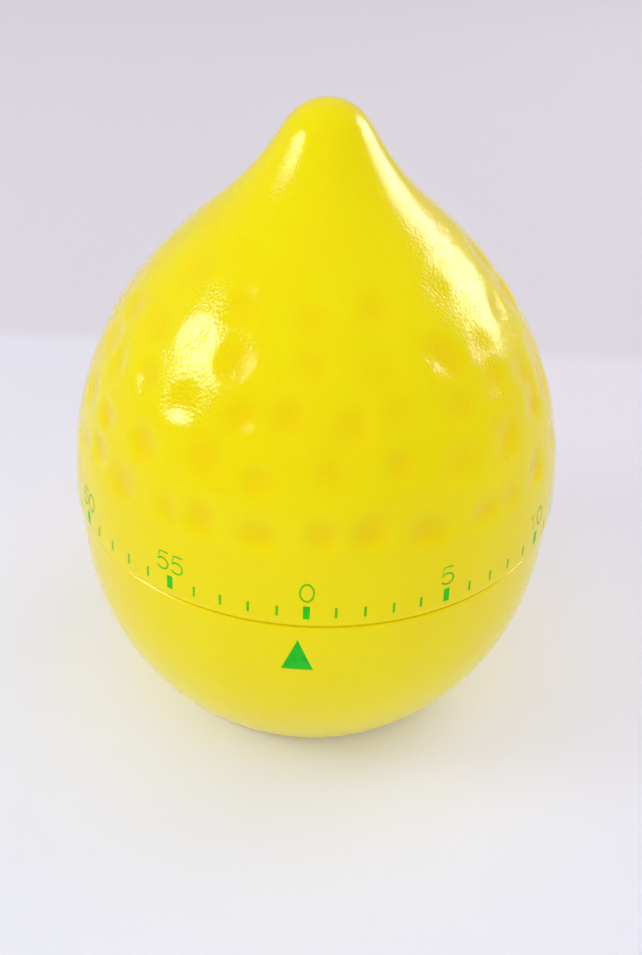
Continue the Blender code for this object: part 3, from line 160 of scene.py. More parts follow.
SWELL_TOP = DIMPLE_ROWS[-1][0] + 0.008
SWELL_FADE = 0.006

# ---- The print ------------------------------------------------------------------------------------------
PRINT_PROUD = 0.00001
PRINT_SUNK = 0.00008
PRINT_MERGE = 1e-8
MARK_RING = 0.0301  # the height of the marks' middles
MINUTES = 60
NUMBERED_MINUTES = range(0, MINUTES, 5)
PLAIN_MINUTES = [minute for minute in range(MINUTES) if minute not in NUMBERED_MINUTES]
MAJOR_MARK, MAJOR_CUTS = (0.00073, 0.00172), 3
MINOR_MARK, MINOR_CUTS = (0.00028, 0.00132), 2
NUMERAL_HEIGHT = 0.00236
NUMERAL_STROKE = 0.00021
NUMERAL_GAP = 0.00050
DIGIT_ADVANCE = 0.00190
FRONT = -math.pi / 2
ZERO_TURN = math.radians(-0.45)  # where the dial stands at rest
POINTER_WIDTH = 0.0036
POINTER_HEIGHT = 0.0045
POINTER_DROP = 0.0021  # its apex, below the seam
POINTER_TURN = math.radians(-2.1)
POINTER_CUTS = 12

# ---- Colours and finishes -------------------------------------------------------------------------------
YELLOW_DEEP, YELLOW_PALE = (0.93, 0.77, 0.0), (0.94, 0.81, 0.0)
# Painted shade: a deeper orange-yellow is mixed into the dial's colour by dimple depth, standing in for the
# shade and bounced light in the dimples.
DIMPLE_SHADE_YELLOW = (0.95, 0.60, 0.0)
DIMPLE_SHADE_SHARE = 0.55  # how much of the painted dimple shade colour the deepest dimple gets
PLASTIC_IOR = 1.35
PLASTIC_GLOSS = (1.0, 0.97, 0.5, 1.0)
INK_GLOSS = (0.7, 1.0, 0.4, 1.0)
DIAL_PEEL, DIAL_ROUGHNESS = 0.00004, 0.06
BASE_PEEL, BASE_ROUGHNESS = 0.000006, 0.15
PEEL_EDGE, BAND_PEEL = 0.0012, 0.15  # the peel fades over twice this height to this share
INK_PEEL = 0.000004
RUBBER_DARK, RUBBER_LIGHT, RUBBER_PEEL = (0.035, 0.035, 0.034), (0.075, 0.074, 0.072), 0.00002
SCRATCH_DEPTH = 0.000004
METALS = {  # dark, light, roughness, fineness of the scratches, and their squeeze: 1 is round, 0 endless in X
    "plate_brass": ((0.60, 0.42, 0.15), (0.74, 0.54, 0.22), 0.30, 700.0, 0.04),
    "wheel_brass": ((0.63, 0.44, 0.15), (0.78, 0.57, 0.23), 0.24, 1100.0, 0.3),
    "arbor_steel": ((0.50, 0.51, 0.52), (0.62, 0.63, 0.64), 0.16, 1500.0, 1.0),
    "lever_steel": ((0.42, 0.43, 0.44), (0.55, 0.56, 0.57), 0.30, 900.0, 0.1),
    "screw_steel": ((0.50, 0.51, 0.53), (0.66, 0.67, 0.69), 0.26, 1600.0, 0.8),
    "spring_steel": ((0.035, 0.05, 0.12), (0.09, 0.12, 0.24), 0.22, 1200.0, 0.5),
    "bell_steel": ((0.58, 0.58, 0.60), (0.72, 0.72, 0.73), 0.12, 1300.0, 0.6),
}

# ---- The movement's metal pieces, by finish -------------------------------------------------------------
BROKEN_EDGE = 0.00005
SHARP_EDGE = math.radians(40)
FLAT_ENOUGH = math.radians(1)
METAL_PIECES = {
    "plate_brass": ["lower_plate", "upper_plate", "pillar_1", "pillar_2", "pillar_3", "bell_post"],
    "wheel_brass": [
        "great_wheel", "second_wheel", "third_wheel", "escape_wheel", "strike_wheel", "balance_bar",
        "cam_disc", "hammer_head",
    ],
    "arbor_steel": [
        "main_arbor", "second_arbor", "third_arbor", "escape_arbor", "pallet_arbor", "strike_arbor",
        "hammer_arbor", "spring_post", "stop_pin", "click_stud", "detent_stud",
    ],
    "lever_steel": [
        "ratchet_wheel", "click_pawl", "pallet_lever", "hammer_arm", "hammer_tail", "stop_arm",
        "detent_lever", "arbor_clip",
    ],
    "screw_steel": [
        "base_screw_1", "base_screw_2", "base_screw_3", "pillar_screw_1", "pillar_screw_2",
        "pillar_screw_3", "bell_screw",
    ],
    "spring_steel": ["mainspring", "click_spring", "hammer_spring", "detent_spring"],
    "bell_steel": ["bell"],
}

# ---- Floor, light and camera values ---------------------------------------------------------------------
MIDDLE = Vector((0, 0, TOTAL_HEIGHT / 2))
SHEET_NEAR, SHEET_EDGE = -0.08, 0.084
EDGE_BLUR = 0.008
SHEET_PAINTED_SHADE = 0.6  # the share of the change that comes before the sheet's edge: painted shade that darkens the floor towards the back
SHEET_COLOUR = (0.87, 0.90, 0.96)
GROUND_COLOUR = (0.74, 0.72, 0.72)
FLOOR_DRIFT, FLOOR_GRAIN = 0.06, 9.0
FLOOR_REACH = 3.0
FLOOR_CLEARANCE = 0.00005
CAMERA_PLACE = Vector((0.00073, -0.1173, 0.1073))
CAMERA_PITCH = math.radians(34.43)
CAMERA_ROLL = math.radians(2.3)
CAMERA_LENS = 41.47
WORLD_COLOUR, WORLD_LIGHT = (1.0, 0.95, 1.0, 1), 0.52
LIGHTS = {  # azimuth, elevation, distance, width, height, colour, power, and power in the gloss
    "left_window": (-77, 31, 0.60, 0.25, 0.20, (0.93, 1.0, 1.0), 0.66, 16.0),
    "right_window": (124, 22, 0.60, 0.38, 0.28, (1.0, 0.92, 0.90), 0.60, 36.0),
    "left_room": (-50, 50, 2.0, 2.6, 2.0, (1.0, 1.0, 1.0), 0.6, 0),
    "back_left": (-150, 34, 1.2, 0.9, 0.7, (1.0, 1.0, 1.0), 1.0, 0),
    "front_fill": (0, 22, 2.0, 2.2, 2.2, (1.0, 0.97, 1.05), 7.0, 0),
    "top_fill": (0, 80, 2.0, 2.2, 2.2, (0.98, 0.99, 1.3), 11.5, 0),
}


# ---- Outlines: lists of (radius, height) ----------------------------------------------------------------
def curve(start, pull, counter_pull, end, count):
    """Points on a cubic curve, without its first."""
    p0, p3 = Vector(start), Vector(end)
    p1, p2 = p0 + Vector(pull), p3 - Vector(counter_pull)
    points = []
    for i in range(1, count + 1):
        t = i / count
        s = 1 - t
        points.append(tuple(s**3 * p0 + 3 * s * s * t * p1 + 3 * s * t * t * p2 + t**3 * p3))
    return points


def leaning(angle, length):
    """A step up the outline that leans inwards by the angle."""
    return (-length * math.sin(angle), length * math.cos(angle))


def inset(outline, distance):
    """The outline moved to its left by the distance."""
    moved = []
    for i, point in enumerate(outline):
        before = Vector(outline[max(i - 1, 0)])
        after = Vector(outline[min(i + 1, len(outline) - 1)])
        along = (after - before).normalized()
        moved.append((point[0] - along.y * distance, point[1] + along.x * distance))
    return moved


def rounded(before, corner, after, radius, count=5):
    """An arc in place of a corner, touching both its sides."""
    corner = Vector(corner)
    back = (Vector(before) - corner).normalized()
    on = (Vector(after) - corner).normalized()
    half = back.angle(on) / 2
    centre = corner + (back + on).normalized() * (radius / math.sin(half))
    start, end = corner + back * (radius / math.tan(half)), corner + on * (radius / math.tan(half))
    a, b = start - centre, end - centre
    sweep = a.angle_signed(b)
    return [tuple(centre + Matrix.Rotation(-sweep * i / count, 2) @ a) for i in range(count + 1)]


def radius_at(outline, height):
    """The radius of a rising outline at a height, beyond its ends the nearest one."""
    for (r0, z0), (r1, z1) in zip(outline, outline[1:]):
        if z0 <= height <= z1:
            return r0 + (r1 - r0) * (height - z0) / max(z1 - z0, 1e-9)
    return outline[0][0] if height < outline[0][1] else outline[-1][0]


def dome_outline(fineness):
    """The dial's outside, from the seam to the tip."""
    seam = (DIAL_RADIUS, SEAM_HEIGHT)
    neck = (NECK_RADIUS, TOTAL_HEIGHT - NECK_DROP)
    nipple = (NIPPLE_RADIUS, TOTAL_HEIGHT - NIPPLE_DROP)
    tip = (0.0, TOTAL_HEIGHT)
    neck_below, neck_above = leaning(NECK_LEAN, NECK_PULL_BELOW), leaning(NECK_LEAN, NECK_PULL_ABOVE)
    side_below, side_above = leaning(NIPPLE_LEAN, NIPPLE_PULL_BELOW), leaning(NIPPLE_LEAN, NIPPLE_PULL_ABOVE)
    return (
        [seam]
        + curve(seam, (0, SHOULDER_PULL), neck_below, neck, 5 * fineness)
        + curve(neck, neck_above, side_below, nipple, fineness)
        + curve(nipple, side_above, (-TIP_FLAT, 0), tip, fineness)
    )


def cup_outline(count):
    """The base shell's outside, from the edge of its underside to the seam."""
    edge = (BASE_RADIUS, UNDERSIDE)
    pull = (BASE_PULL * math.cos(BASE_LEAN), BASE_PULL * math.sin(BASE_LEAN))
    return [edge] + curve(edge, pull, (0, CUP_PULL), (CUP_RADIUS, SEAM_HEIGHT - SEAM_GAP), count)


# ---- Making pieces --------------------------------------------------------------------------------------
def piece(name, shape, material, body, replaced=()):
    """One finished piece from a bmesh, riding on its body. Print has no slot in the record."""
    mesh = bpy.data.meshes.new(name)
    shape.to_mesh(mesh)
    shape.free()
    mesh.shade_smooth()
    mesh.set_sharp_from_angle(angle=SHADING_BREAK)
    obj = bpy.data.objects.new(name, mesh)
    bpy.context.scene.collection.objects.link(obj)
    mesh.materials.append(material)
    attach(obj, body)
    if replaced:
        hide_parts(*replaced)
    return obj


def spun(outline, steps, closed=False):
    """A solid of revolution. The outline runs down its outer side."""
    shape = bmesh.new()
    points = [shape.verts.new((radius, 0, height)) for radius, height in outline]
    for start, end in zip(points, points[1:] + points[:1] if closed else points[1:]):
        shape.edges.new((start, end))
    bmesh.ops.spin(
        shape, geom=shape.verts[:] + shape.edges[:], cent=(0, 0, 0), axis=(0, 0, 1),
        angle=math.tau, steps=steps, use_merge=True,
    )
    bmesh.ops.remove_doubles(shape, verts=shape.verts, dist=MERGE)
    bmesh.ops.recalc_face_normals(shape, faces=shape.faces)
    return shape


def add_prism(shape, outline, low, high):
    """Adds an upright prism of a flat outline to the bmesh, and returns its vertices."""
    ring = [shape.verts.new((x, y, low)) for x, y in outline]
    base = shape.faces.new(ring)
    grown = bmesh.ops.extrude_face_region(shape, geom=[base])["geom"]
    raised = [item for item in grown if isinstance(item, bmesh.types.BMVert)]
    bmesh.ops.translate(shape, verts=raised, vec=(0, 0, high - low))
    return ring + raised


def solid_of(name, shape):
    """A hidden solid that cuts or joins others."""
    bmesh.ops.recalc_face_normals(shape, faces=shape.faces)
    mesh = bpy.data.meshes.new(name)
    shape.to_mesh(mesh)
    shape.free()
    obj = bpy.data.objects.new(name, mesh)
    bpy.context.scene.collection.objects.link(obj)
    return obj


def rod(radius, low, high, centre=(0, 0), steps=48):
    """An upright cylinder that joins another solid or cuts it."""
    shape = bmesh.new()
    made = bmesh.ops.create_cone(
        shape, cap_ends=True, segments=steps, radius1=radius, radius2=radius, depth=high - low
    )
    bmesh.ops.translate(shape, verts=made["verts"], vec=(*centre, (low + high) / 2))
    return shape


def carve(obj, other, operation):
    """Joins the other solid to this one or cuts it away, and removes it."""
    modifier = obj.modifiers.new(operation, "BOOLEAN")
    modifier.object = other
    modifier.operation = operation
    modifier.solver = "EXACT"
    bpy.context.view_layer.update()
    graph = bpy.context.evaluated_depsgraph_get()
    result = bpy.data.meshes.new_from_object(obj.evaluated_get(graph))
    obj.modifiers.clear()
    obj.data = result
    bpy.data.objects.remove(other)


def around(circle, angle):
    """A place on a circle round the axis. The angle counts from +X."""
    return (circle * math.cos(angle), circle * math.sin(angle))


# ---- Material groups ------------------------------------------------------------------------------------
def new_group(name, inputs, outputs):
    """A shader node group with float inputs, given as (name, value), and named outputs."""
    group = bpy.data.node_groups.new(name, "ShaderNodeTree")
    group.interface.new_socket("Position", in_out="INPUT", socket_type="NodeSocketVector")
    for label, value in inputs:
        socket = group.interface.new_socket(label, in_out="INPUT", socket_type="NodeSocketFloat")
        socket.default_value = value
    for label in outputs:
        group.interface.new_socket(label, in_out="OUTPUT", socket_type="NodeSocketFloat")
    return group, group.nodes.new("NodeGroupInput"), group.nodes.new("NodeGroupOutput")


def math_node(tree, operation, first, second):
    """A Math node. Each operand is a socket or a number."""
    node = tree.nodes.new("ShaderNodeMath")
    node.operation = operation
    for socket, value in zip(node.inputs, (first, second)):
        if isinstance(value, (int, float)):
            socket.default_value = value
        else:
            tree.links.new(value, socket)
    return node.outputs[0]


def noise_node(tree, position, scale, detail=2.0, roughness=0.5):
    """Soft noise from 0 to 1. Its scale is a socket or a number."""
    node = tree.nodes.new("ShaderNodeTexNoise")
    node.inputs["Detail"].default_value = detail
    node.inputs["Roughness"].default_value = roughness
    tree.links.new(position, node.inputs["Vector"])
    if isinstance(scale, (int, float)):
        node.inputs["Scale"].default_value = scale
    else:
        tree.links.new(scale, node.inputs["Scale"])
    return node.outputs["Fac"]


def peel_group():
    """The fine pebbled skin of moulded plastic, and the slow drift of its colour and gloss."""
    group, into, out = new_group(
        "moulded_skin", [("Scale", 1500.0), ("Drift", 60.0)], ["Height", "Drift", "Grain"]
    )
    position, scale, drift = into.outputs[0], into.outputs[1], into.outputs[2]
    cells = group.nodes.new("ShaderNodeTexVoronoi")
    cells.feature = "SMOOTH_F1"
    cells.inputs["Smoothness"].default_value = 0.8
    group.links.new(position, cells.inputs["Vector"])
    group.links.new(scale, cells.inputs["Scale"])
    waves = noise_node(group, position, math_node(group, "MULTIPLY", scale, 0.9), 2.0, 0.6)
    height = math_node(group, "ADD", math_node(group, "MULTIPLY", cells.outputs["Distance"], 0.5), waves)
    group.links.new(height, out.inputs["Height"])
    group.links.new(noise_node(group, position, drift, 3.0), out.inputs["Drift"])
    finer = math_node(group, "MULTIPLY", scale, 2.2)
    group.links.new(noise_node(group, position, finer, 1.0), out.inputs["Grain"])
    return group


def metal_group():
    """The satin of worked metal: fine scratches along X, and soft blotches from handling and oil."""
    group, into, out = new_group("worked_metal", [("Scale", 900.0), ("Stretch", 0.05)], ["Lines", "Blotch"])
    position, scale, stretch = into.outputs[0], into.outputs[1], into.outputs[2]
    squeeze = group.nodes.new("ShaderNodeCombineXYZ")
    group.links.new(stretch, squeeze.inputs["X"])
    squeeze.inputs["Y"].default_value = 1.0
    squeeze.inputs["Z"].default_value = 1.0
    drawn = group.nodes.new("ShaderNodeVectorMath")
    drawn.operation = "MULTIPLY"
    group.links.new(position, drawn.inputs[0])
    group.links.new(squeeze.outputs[0], drawn.inputs[1])
    group.links.new(noise_node(group, drawn.outputs[0], scale, 4.0, 0.6), out.inputs["Lines"])
    coarser = math_node(group, "MULTIPLY", scale, 0.2)
    group.links.new(noise_node(group, position, coarser, 4.0), out.inputs["Blotch"])
    return group


MOULDED_SKIN = peel_group()
WORKED_METAL = metal_group()


# ---- Materials ------------------------------------------------------------------------------------------
def new_material(name, **constants):
    """A material, its tree, its shader and its Object coordinates."""
    made = bpy.data.materials.new(name)
    made.use_nodes = True
    tree = made.node_tree
    shader = tree.nodes["Principled BSDF"]
    for label, value in constants.items():
        shader.inputs[label.replace("_", " ")].default_value = value
    return made, tree, shader, tree.nodes.new("ShaderNodeTexCoord").outputs["Object"]


def effect(tree, group, position, **values):
    """A group placed in a material with its own values. Returns its outputs."""
    node = tree.nodes.new("ShaderNodeGroup")
    node.node_tree = group
    tree.links.new(position, node.inputs["Position"])
    for label, value in values.items():
        node.inputs[label].default_value = value
    return node.outputs


def two_colours(tree, mask, low_colour, high_colour, low=0.0, high=1.0):
    """A colour that goes from one to the other as the mask rises from low to high."""
    ramp = tree.nodes.new("ShaderNodeValToRGB")
    ramp.color_ramp.elements[0].position = low
    ramp.color_ramp.elements[0].color = (*low_colour, 1)
    ramp.color_ramp.elements[1].position = high
    ramp.color_ramp.elements[1].color = (*high_colour, 1)
    tree.links.new(mask, ramp.inputs["Fac"])
    return ramp.outputs["Color"]


def span(tree, mask, low, high):
    """The mask's 0 to 1 as a value from low to high."""
    return math_node(tree, "ADD", math_node(tree, "MULTIPLY", mask, high - low), low)


def soft_step(tree, value, start, end, low, high):
    """A value that rises softly from low to high as another goes from start to end."""
    node = tree.nodes.new("ShaderNodeMapRange")
    node.interpolation_type = "SMOOTHSTEP"
    tree.links.new(value, node.inputs["Value"])
    for label, number in (("From Min", start), ("From Max", end), ("To Min", low), ("To Max", high)):
        node.inputs[label].default_value = number
    return node.outputs["Result"]


def bumped(tree, shader, height, distance):
    """Gives the shader a relief whose 0 to 1 is the distance."""
    bump = tree.nodes.new("ShaderNodeBump")
    bump.inputs["Distance"].default_value = distance
    tree.links.new(height, bump.inputs["Height"])
    tree.links.new(bump.outputs["Normal"], shader.inputs["Normal"])


def yellow_plastic(name, peel_depth, roughness, smooth_below=None):
    """Glossy moulded plastic in lemon yellow, its skin pebbled above the given height, with painted shade
    where the skin is dimpled.
    """
    made, tree, shader, position = new_material(name, IOR=PLASTIC_IOR, Specular_Tint=PLASTIC_GLOSS)
    skin = effect(tree, MOULDED_SKIN, position, Scale=3000.0, Drift=55.0)
    colour = two_colours(tree, skin["Drift"], YELLOW_DEEP, YELLOW_PALE, 0.35, 0.65)
    # Painted shade: the dimples' depth mixes a deeper orange-yellow into the colour.
    dimple_shade_depth = tree.nodes.new("ShaderNodeAttribute")
    dimple_shade_depth.attribute_name = "dimple_shade"
    dimple_shade_mix = math_node(tree, "MULTIPLY", dimple_shade_depth.outputs["Fac"], DIMPLE_SHADE_SHARE)
    shaded = tree.nodes.new("ShaderNodeMix")
    shaded.data_type = "RGBA"
    colour_a, colour_b, mixed = shaded.inputs[6], shaded.inputs[7], shaded.outputs[2]  # its RGBA sockets
    tree.links.new(dimple_shade_mix, shaded.inputs["Factor"])
    tree.links.new(colour, colour_a)
    colour_b.default_value = (*DIMPLE_SHADE_YELLOW, 1)
    tree.links.new(mixed, shader.inputs["Base Color"])
    tree.links.new(span(tree, skin["Grain"], roughness - 0.02, roughness + 0.04), shader.inputs["Roughness"])
    height = skin["Height"]
    if smooth_below:
        places = tree.nodes.new("ShaderNodeSeparateXYZ")
        tree.links.new(position, places.inputs[0])
        start, end = smooth_below - PEEL_EDGE, smooth_below + PEEL_EDGE
        fade = soft_step(tree, places.outputs["Z"], start, end, BAND_PEEL, 1.0)
        height = math_node(tree, "MULTIPLY", height, fade)
    bumped(tree, shader, height, peel_depth)
    return made


def print_ink(name, thin, thick):
    """Pad-printed ink: its cover varies a little, so the yellow below shows through."""
    made, tree, shader, position = new_material(name, IOR=PLASTIC_IOR, Specular_Tint=INK_GLOSS)
    skin = effect(tree, MOULDED_SKIN, position, Scale=2600.0, Drift=900.0)
    tree.links.new(two_colours(tree, skin["Drift"], thin, thick, 0.35, 0.6), shader.inputs["Base Color"])
    tree.links.new(span(tree, skin["Grain"], 0.25, 0.45), shader.inputs["Roughness"])
    bumped(tree, shader, skin["Height"], INK_PEEL)
    return made


def metal(name, dark, light, roughness, scale, stretch):
    """Worked metal, satin to polished."""
    made, tree, shader, position = new_material(name, Metallic=1.0)
    marks = effect(tree, WORKED_METAL, position, Scale=scale, Stretch=stretch)
    tree.links.new(two_colours(tree, marks["Blotch"], dark, light, 0.3, 0.7), shader.inputs["Base Color"])
    tree.links.new(span(tree, marks["Lines"], roughness - 0.08, roughness + 0.12), shader.inputs["Roughness"])
    bumped(tree, shader, marks["Lines"], SCRATCH_DEPTH)
    return made


def matt_rubber():
    """Dark rubber, dull and a little dusty."""
    made, tree, shader, position = new_material("foot_rubber", IOR=1.5)
    skin = effect(tree, MOULDED_SKIN, position, Scale=2200.0, Drift=300.0)
    colour = two_colours(tree, skin["Drift"], RUBBER_DARK, RUBBER_LIGHT, 0.3, 0.7)
    tree.links.new(colour, shader.inputs["Base Color"])
    tree.links.new(span(tree, skin["Grain"], 0.62, 0.85), shader.inputs["Roughness"])
    bumped(tree, shader, skin["Height"], RUBBER_PEEL)
    return made


dial_plastic = yellow_plastic("dial_plastic", DIAL_PEEL, DIAL_ROUGHNESS, BAND_TOP)
base_plastic = yellow_plastic("base_plastic", BASE_PEEL, BASE_ROUGHNESS)
mark_ink = print_ink("mark_ink", (0.02, 0.56, 0.004), (0.008, 0.66, 0.002))
numeral_ink = print_ink("numeral_ink", (0.17, 0.60, 0.0), (0.09, 0.53, 0.0))
pointer_ink = print_ink("pointer_ink", (0.004, 0.50, 0.020), (0.008, 0.60, 0.012))
rubber = matt_rubber()
metal_finishes = {name: metal(name, *values) for name, values in METALS.items()}


# ---- The dial shell -------------------------------------------------------------------------------------
def dimple_centres(outline):
    """Uneven rows of dimples round the dome, between the printed band and the neck."""
    draw = random.Random(DIMPLE_SEED)
    centres = []
    for row, (height, count, first) in enumerate(DIMPLE_ROWS):
        for i in range(count):
            level = height + draw.uniform(-1, 1) * DIMPLE_STRAY
            radius = radius_at(outline, level)
            stray = draw.uniform(-1, 1) * DIMPLE_STRAY / radius
            angle = FRONT + math.radians(first) + math.tau * i / count + stray
            fading = 1.0 - DIMPLE_FADING * row * draw.random()
            place = Vector((*around(radius, angle), level))
            centres.append((place, draw.uniform(*DIMPLE_REACH), draw.uniform(*DIMPLE_DEPTH) * fading))
    return centres


def press_dimples(shape, outline):
    """Moves the dome's skin inwards at each dimple, and lets it wander a little between them. Each point's
    dimple depth is kept for the painted shade in its colour.
    """
    centres = dimple_centres(outline)
    finder = kdtree.KDTree(len(centres))
    for index, (place, _, _) in enumerate(centres):
        finder.insert(place, index)
    finder.balance()
    shape.normal_update()
    # Painted shade: each point's dimple depth, from 0 to 1, by which the dial's colour turns a deeper yellow.
    dimple_shade = shape.verts.layers.float.new("dimple_shade")
    furthest = DIMPLE_REACH[1] / (1 - DIMPLE_WANDER)
    moves = []
    for vert in shape.verts:
        outer = math.hypot(vert.co.x, vert.co.y) > radius_at(outline, vert.co.z) - SHELL_WALL / 2
        if not outer or vert.co.z < BAND_TOP:
            continue
        uneven = 1.0 + DIMPLE_WANDER * noise.noise(vert.co * DIMPLE_GRAIN)
        depth = 0.0
        for _, index, distance in finder.find_range(vert.co, furthest):
            _, reach, deep = centres[index]
            share = distance * uneven / reach
            if share < 1:
                depth += deep * (1 - share * share) ** 2
        above_band = min(1.0, (vert.co.z - BAND_TOP) / BAND_FADE)
        below_neck = min(1.0, max(0.0, (SWELL_TOP - vert.co.z) / SWELL_FADE))
        swell = SWELL_HEIGHT * (noise.noise(vert.co * SWELL_GRAIN) - SWELL_LEVEL) * above_band * below_neck
        moves.append((vert, vert.normal * (swell - depth * above_band)))
        vert[dimple_shade] = min(1.0, depth * above_band / DIMPLE_DEPTH[1])
    for vert, move in moves:
        vert.co += move


def dial_shell():
    """The dome, its wall and its rounded rim, closed over inside."""
    outline = dome_outline(DIAL_FINENESS)
    rim_top = SEAM_HEIGHT + RIM_ROUND
    inner = inset(outline, SHELL_WALL)[::DIAL_INNER_STEP]
    inner = [point for point in inner if point[0] > CROWN_RADIUS and point[1] > rim_top]
    foot = (DIAL_RADIUS - SHELL_WALL, SEAM_HEIGHT)
    corner = (DIAL_RADIUS, SEAM_HEIGHT)
    rim = rounded((DIAL_RADIUS, rim_top), corner, foot, RIM_ROUND)
    inner_rim = rounded(corner, foot, inner[0], RIM_ROUND / 2, count=3)
    crown = (0, TOTAL_HEIGHT - SHELL_WALL)
    outside = [point for point in outline if point[1] > rim_top]
    shape = spun(outside[::-1] + rim + inner_rim + inner + [crown], DIAL_STEPS)
    press_dimples(shape, outline)
    piece("dial_shell", shape, dial_plastic, "dial", ["upper_shell"])


def dial_hub():
    """The socket for the arbor and the crossed webs that hold it in the dome, moulded with the dial."""
    middle = inset(dome_outline(WALL_FINENESS), SHELL_WALL / 2)
    web_low = HUB_MOUTH + WEB_RISE
    side = [point for point in middle if point[0] > HUB_RADIUS + HUB_SHOULDER and point[1] > web_low]
    across = side + [(-radius, height) for radius, height in reversed(side)]
    hub_top = side[-1][1]
    hub = solid_of("hub", rod(HUB_RADIUS, HUB_MOUTH, hub_top, steps=HUB_STEPS))
    for turn in (0, math.pi / 2):
        shape = bmesh.new()
        verts = add_prism(shape, across, -WEB_THICKNESS / 2, WEB_THICKNESS / 2)
        upright = Matrix.Rotation(turn, 3, "Z") @ Matrix.Rotation(math.pi / 2, 3, "X")
        bmesh.ops.rotate(shape, verts=verts, cent=(0, 0, 0), matrix=upright)
        carve(hub, solid_of("web", shape), "UNION")
    half = math.acos(SOCKET_FLAT / SOCKET_RADIUS)
    start, sweep = FRONT + half, math.tau - 2 * half
    socket = [around(SOCKET_RADIUS, start + sweep * i / SOCKET_STEPS) for i in range(SOCKET_STEPS + 1)]
    shape = bmesh.new()
    add_prism(shape, socket, HUB_MOUTH - OVERLAP, shaft_top + SHAFT_CLEARANCE)
    carve(hub, solid_of("socket", shape), "DIFFERENCE")
    shape = bmesh.new()
    shape.from_mesh(hub.data)
    bpy.data.objects.remove(hub)
    piece("dial_hub", shape, dial_plastic, "dial", ["upper_shell"])


# ---- The base shell -------------------------------------------------------------------------------------
def base_shell():
    """The cup, its floor and lip, the groove for the foot, the bosses and the screw recesses."""
    outside = cup_outline(CUP_FINENESS)
    shoulder = SEAM_HEIGHT - SEAM_GAP
    lip_foot = DIAL_RADIUS - SHELL_WALL - LIP_CLEARANCE
    lip_top = radius_at(inset(dome_outline(WALL_FINENESS), SHELL_WALL), cup_high.z) - LIP_CLEARANCE
    lip_root = SEAM_HEIGHT - LIP_HEIGHT
    wall = inset(outside, SHELL_WALL)
    floor_edge = radius_at(wall, FLOOR_TOP) - FLOOR_CORNER_WIDTH
    wall_foot, wall_top = FLOOR_TOP + FLOOR_CORNER_RISE, lip_root - SHELL_WALL
    inside = [point for point in wall if wall_foot < point[1] < wall_top][::CUP_INNER_STEP]
    edge = rounded(outside[5], outside[0], (0, UNDERSIDE), BASE_ROUND, count=10)
    rim = rounded((lip_foot, shoulder), outside[-1], outside[-3], CUP_RIM_ROUND)
    side = [point for point in outside if edge[0][1] < point[1] < rim[-1][1]]
    groove_outer, groove_inner = FOOT_OUTER_RADIUS + FOOT_CLEARANCE, FOOT_INNER_RADIUS - FOOT_CLEARANCE
    groove_top = FOOT_TOP + FOOT_CLEARANCE
    lip_inner, lip_outer = (lip_top - LIP_WALL, cup_high.z), (lip_top, cup_high.z)
    hole_edge, boss_edge = (SCREW_HOLE_RADIUS, BELL_BOSS_TOP), (BELL_POST_RADIUS, BELL_BOSS_TOP)
    boss_root = (BELL_POST_RADIUS, FLOOR_TOP)
    lip_inside = (lip_foot - LIP_WALL, lip_root)
    outline = (
        [
            (0, BELL_PILOT_FLOOR),
            (SCREW_HOLE_RADIUS, BELL_PILOT_FLOOR),
            hole_edge,
        ]
        + rounded(hole_edge, boss_edge, boss_root, BOSS_ROUND, count=3)
        + [boss_root, (floor_edge, FLOOR_TOP)]
        + inside
        + [lip_inside]
        + rounded(lip_inside, lip_inner, lip_outer, LIP_ROUND, count=3)
        + rounded(lip_inner, lip_outer, (lip_foot, shoulder), LIP_ROUND, count=3)
        + [(lip_foot, shoulder)]
        + rim
        + side[::-1]
        + edge
        + [
            (groove_outer, UNDERSIDE),
            (groove_outer, groove_top),
            (groove_inner, groove_top),
            (groove_inner, UNDERSIDE),
            (0, UNDERSIDE),
        ]
    )
    shell = solid_of("base", spun(outline, CUP_STEPS))
    for angle in SCREW_ANGLES:
        centre = around(SCREW_CIRCLE, angle)
        boss = rod(BOSS_RADIUS, FLOOR_TOP - OVERLAP, BOSS_TOP, centre)
        hole = rod(SCREW_HOLE_RADIUS, -OVERLAP, BOSS_TOP + OVERLAP, centre)
        recess = rod(RECESS_RADIUS, -OVERLAP, RECESS_TOP, centre)
        carve(shell, solid_of("boss", boss), "UNION")
        carve(shell, solid_of("hole", hole), "DIFFERENCE")
        carve(shell, solid_of("recess", recess), "DIFFERENCE")
    shape = bmesh.new()
    shape.from_mesh(shell.data)
    bpy.data.objects.remove(shell)
    bmesh.ops.remove_doubles(shape, verts=shape.verts, dist=BOOLEAN_MERGE)
    bmesh.ops.dissolve_degenerate(shape, edges=shape.edges, dist=BOOLEAN_MERGE)
    piece("base_shell", shape, base_plastic, "base", ["lower_shell"])


def foot_ring():
    """The rubber ring that the timer stands on, with rounded edges and two fine grooves in its sole."""
    inner, outer, top = FOOT_INNER_RADIUS, FOOT_OUTER_RADIUS, FOOT_TOP
    sole = []
    for share in SOLE_GROOVES:
        middle = inner + (outer - inner) * share
        sole += [(middle + SOLE_GROOVE_HALF, 0), (middle, SOLE_GROOVE_DEPTH), (middle - SOLE_GROOVE_HALF, 0)]
    section = (
        rounded((inner, top), (outer, top), (outer, 0), FOOT_ROUND)
        + rounded((outer, top), (outer, 0), (inner, 0), FOOT_ROUND)
        + sole
        + rounded((outer, 0), (inner, 0), (inner, top), FOOT_ROUND)
        + rounded((inner, 0), (inner, top), (outer, top), FOOT_ROUND)
    )
    ring = spun(section, FOOT_STEPS, closed=True)
    piece("rubber_foot", ring, rubber, "base", ["foot_ring"])


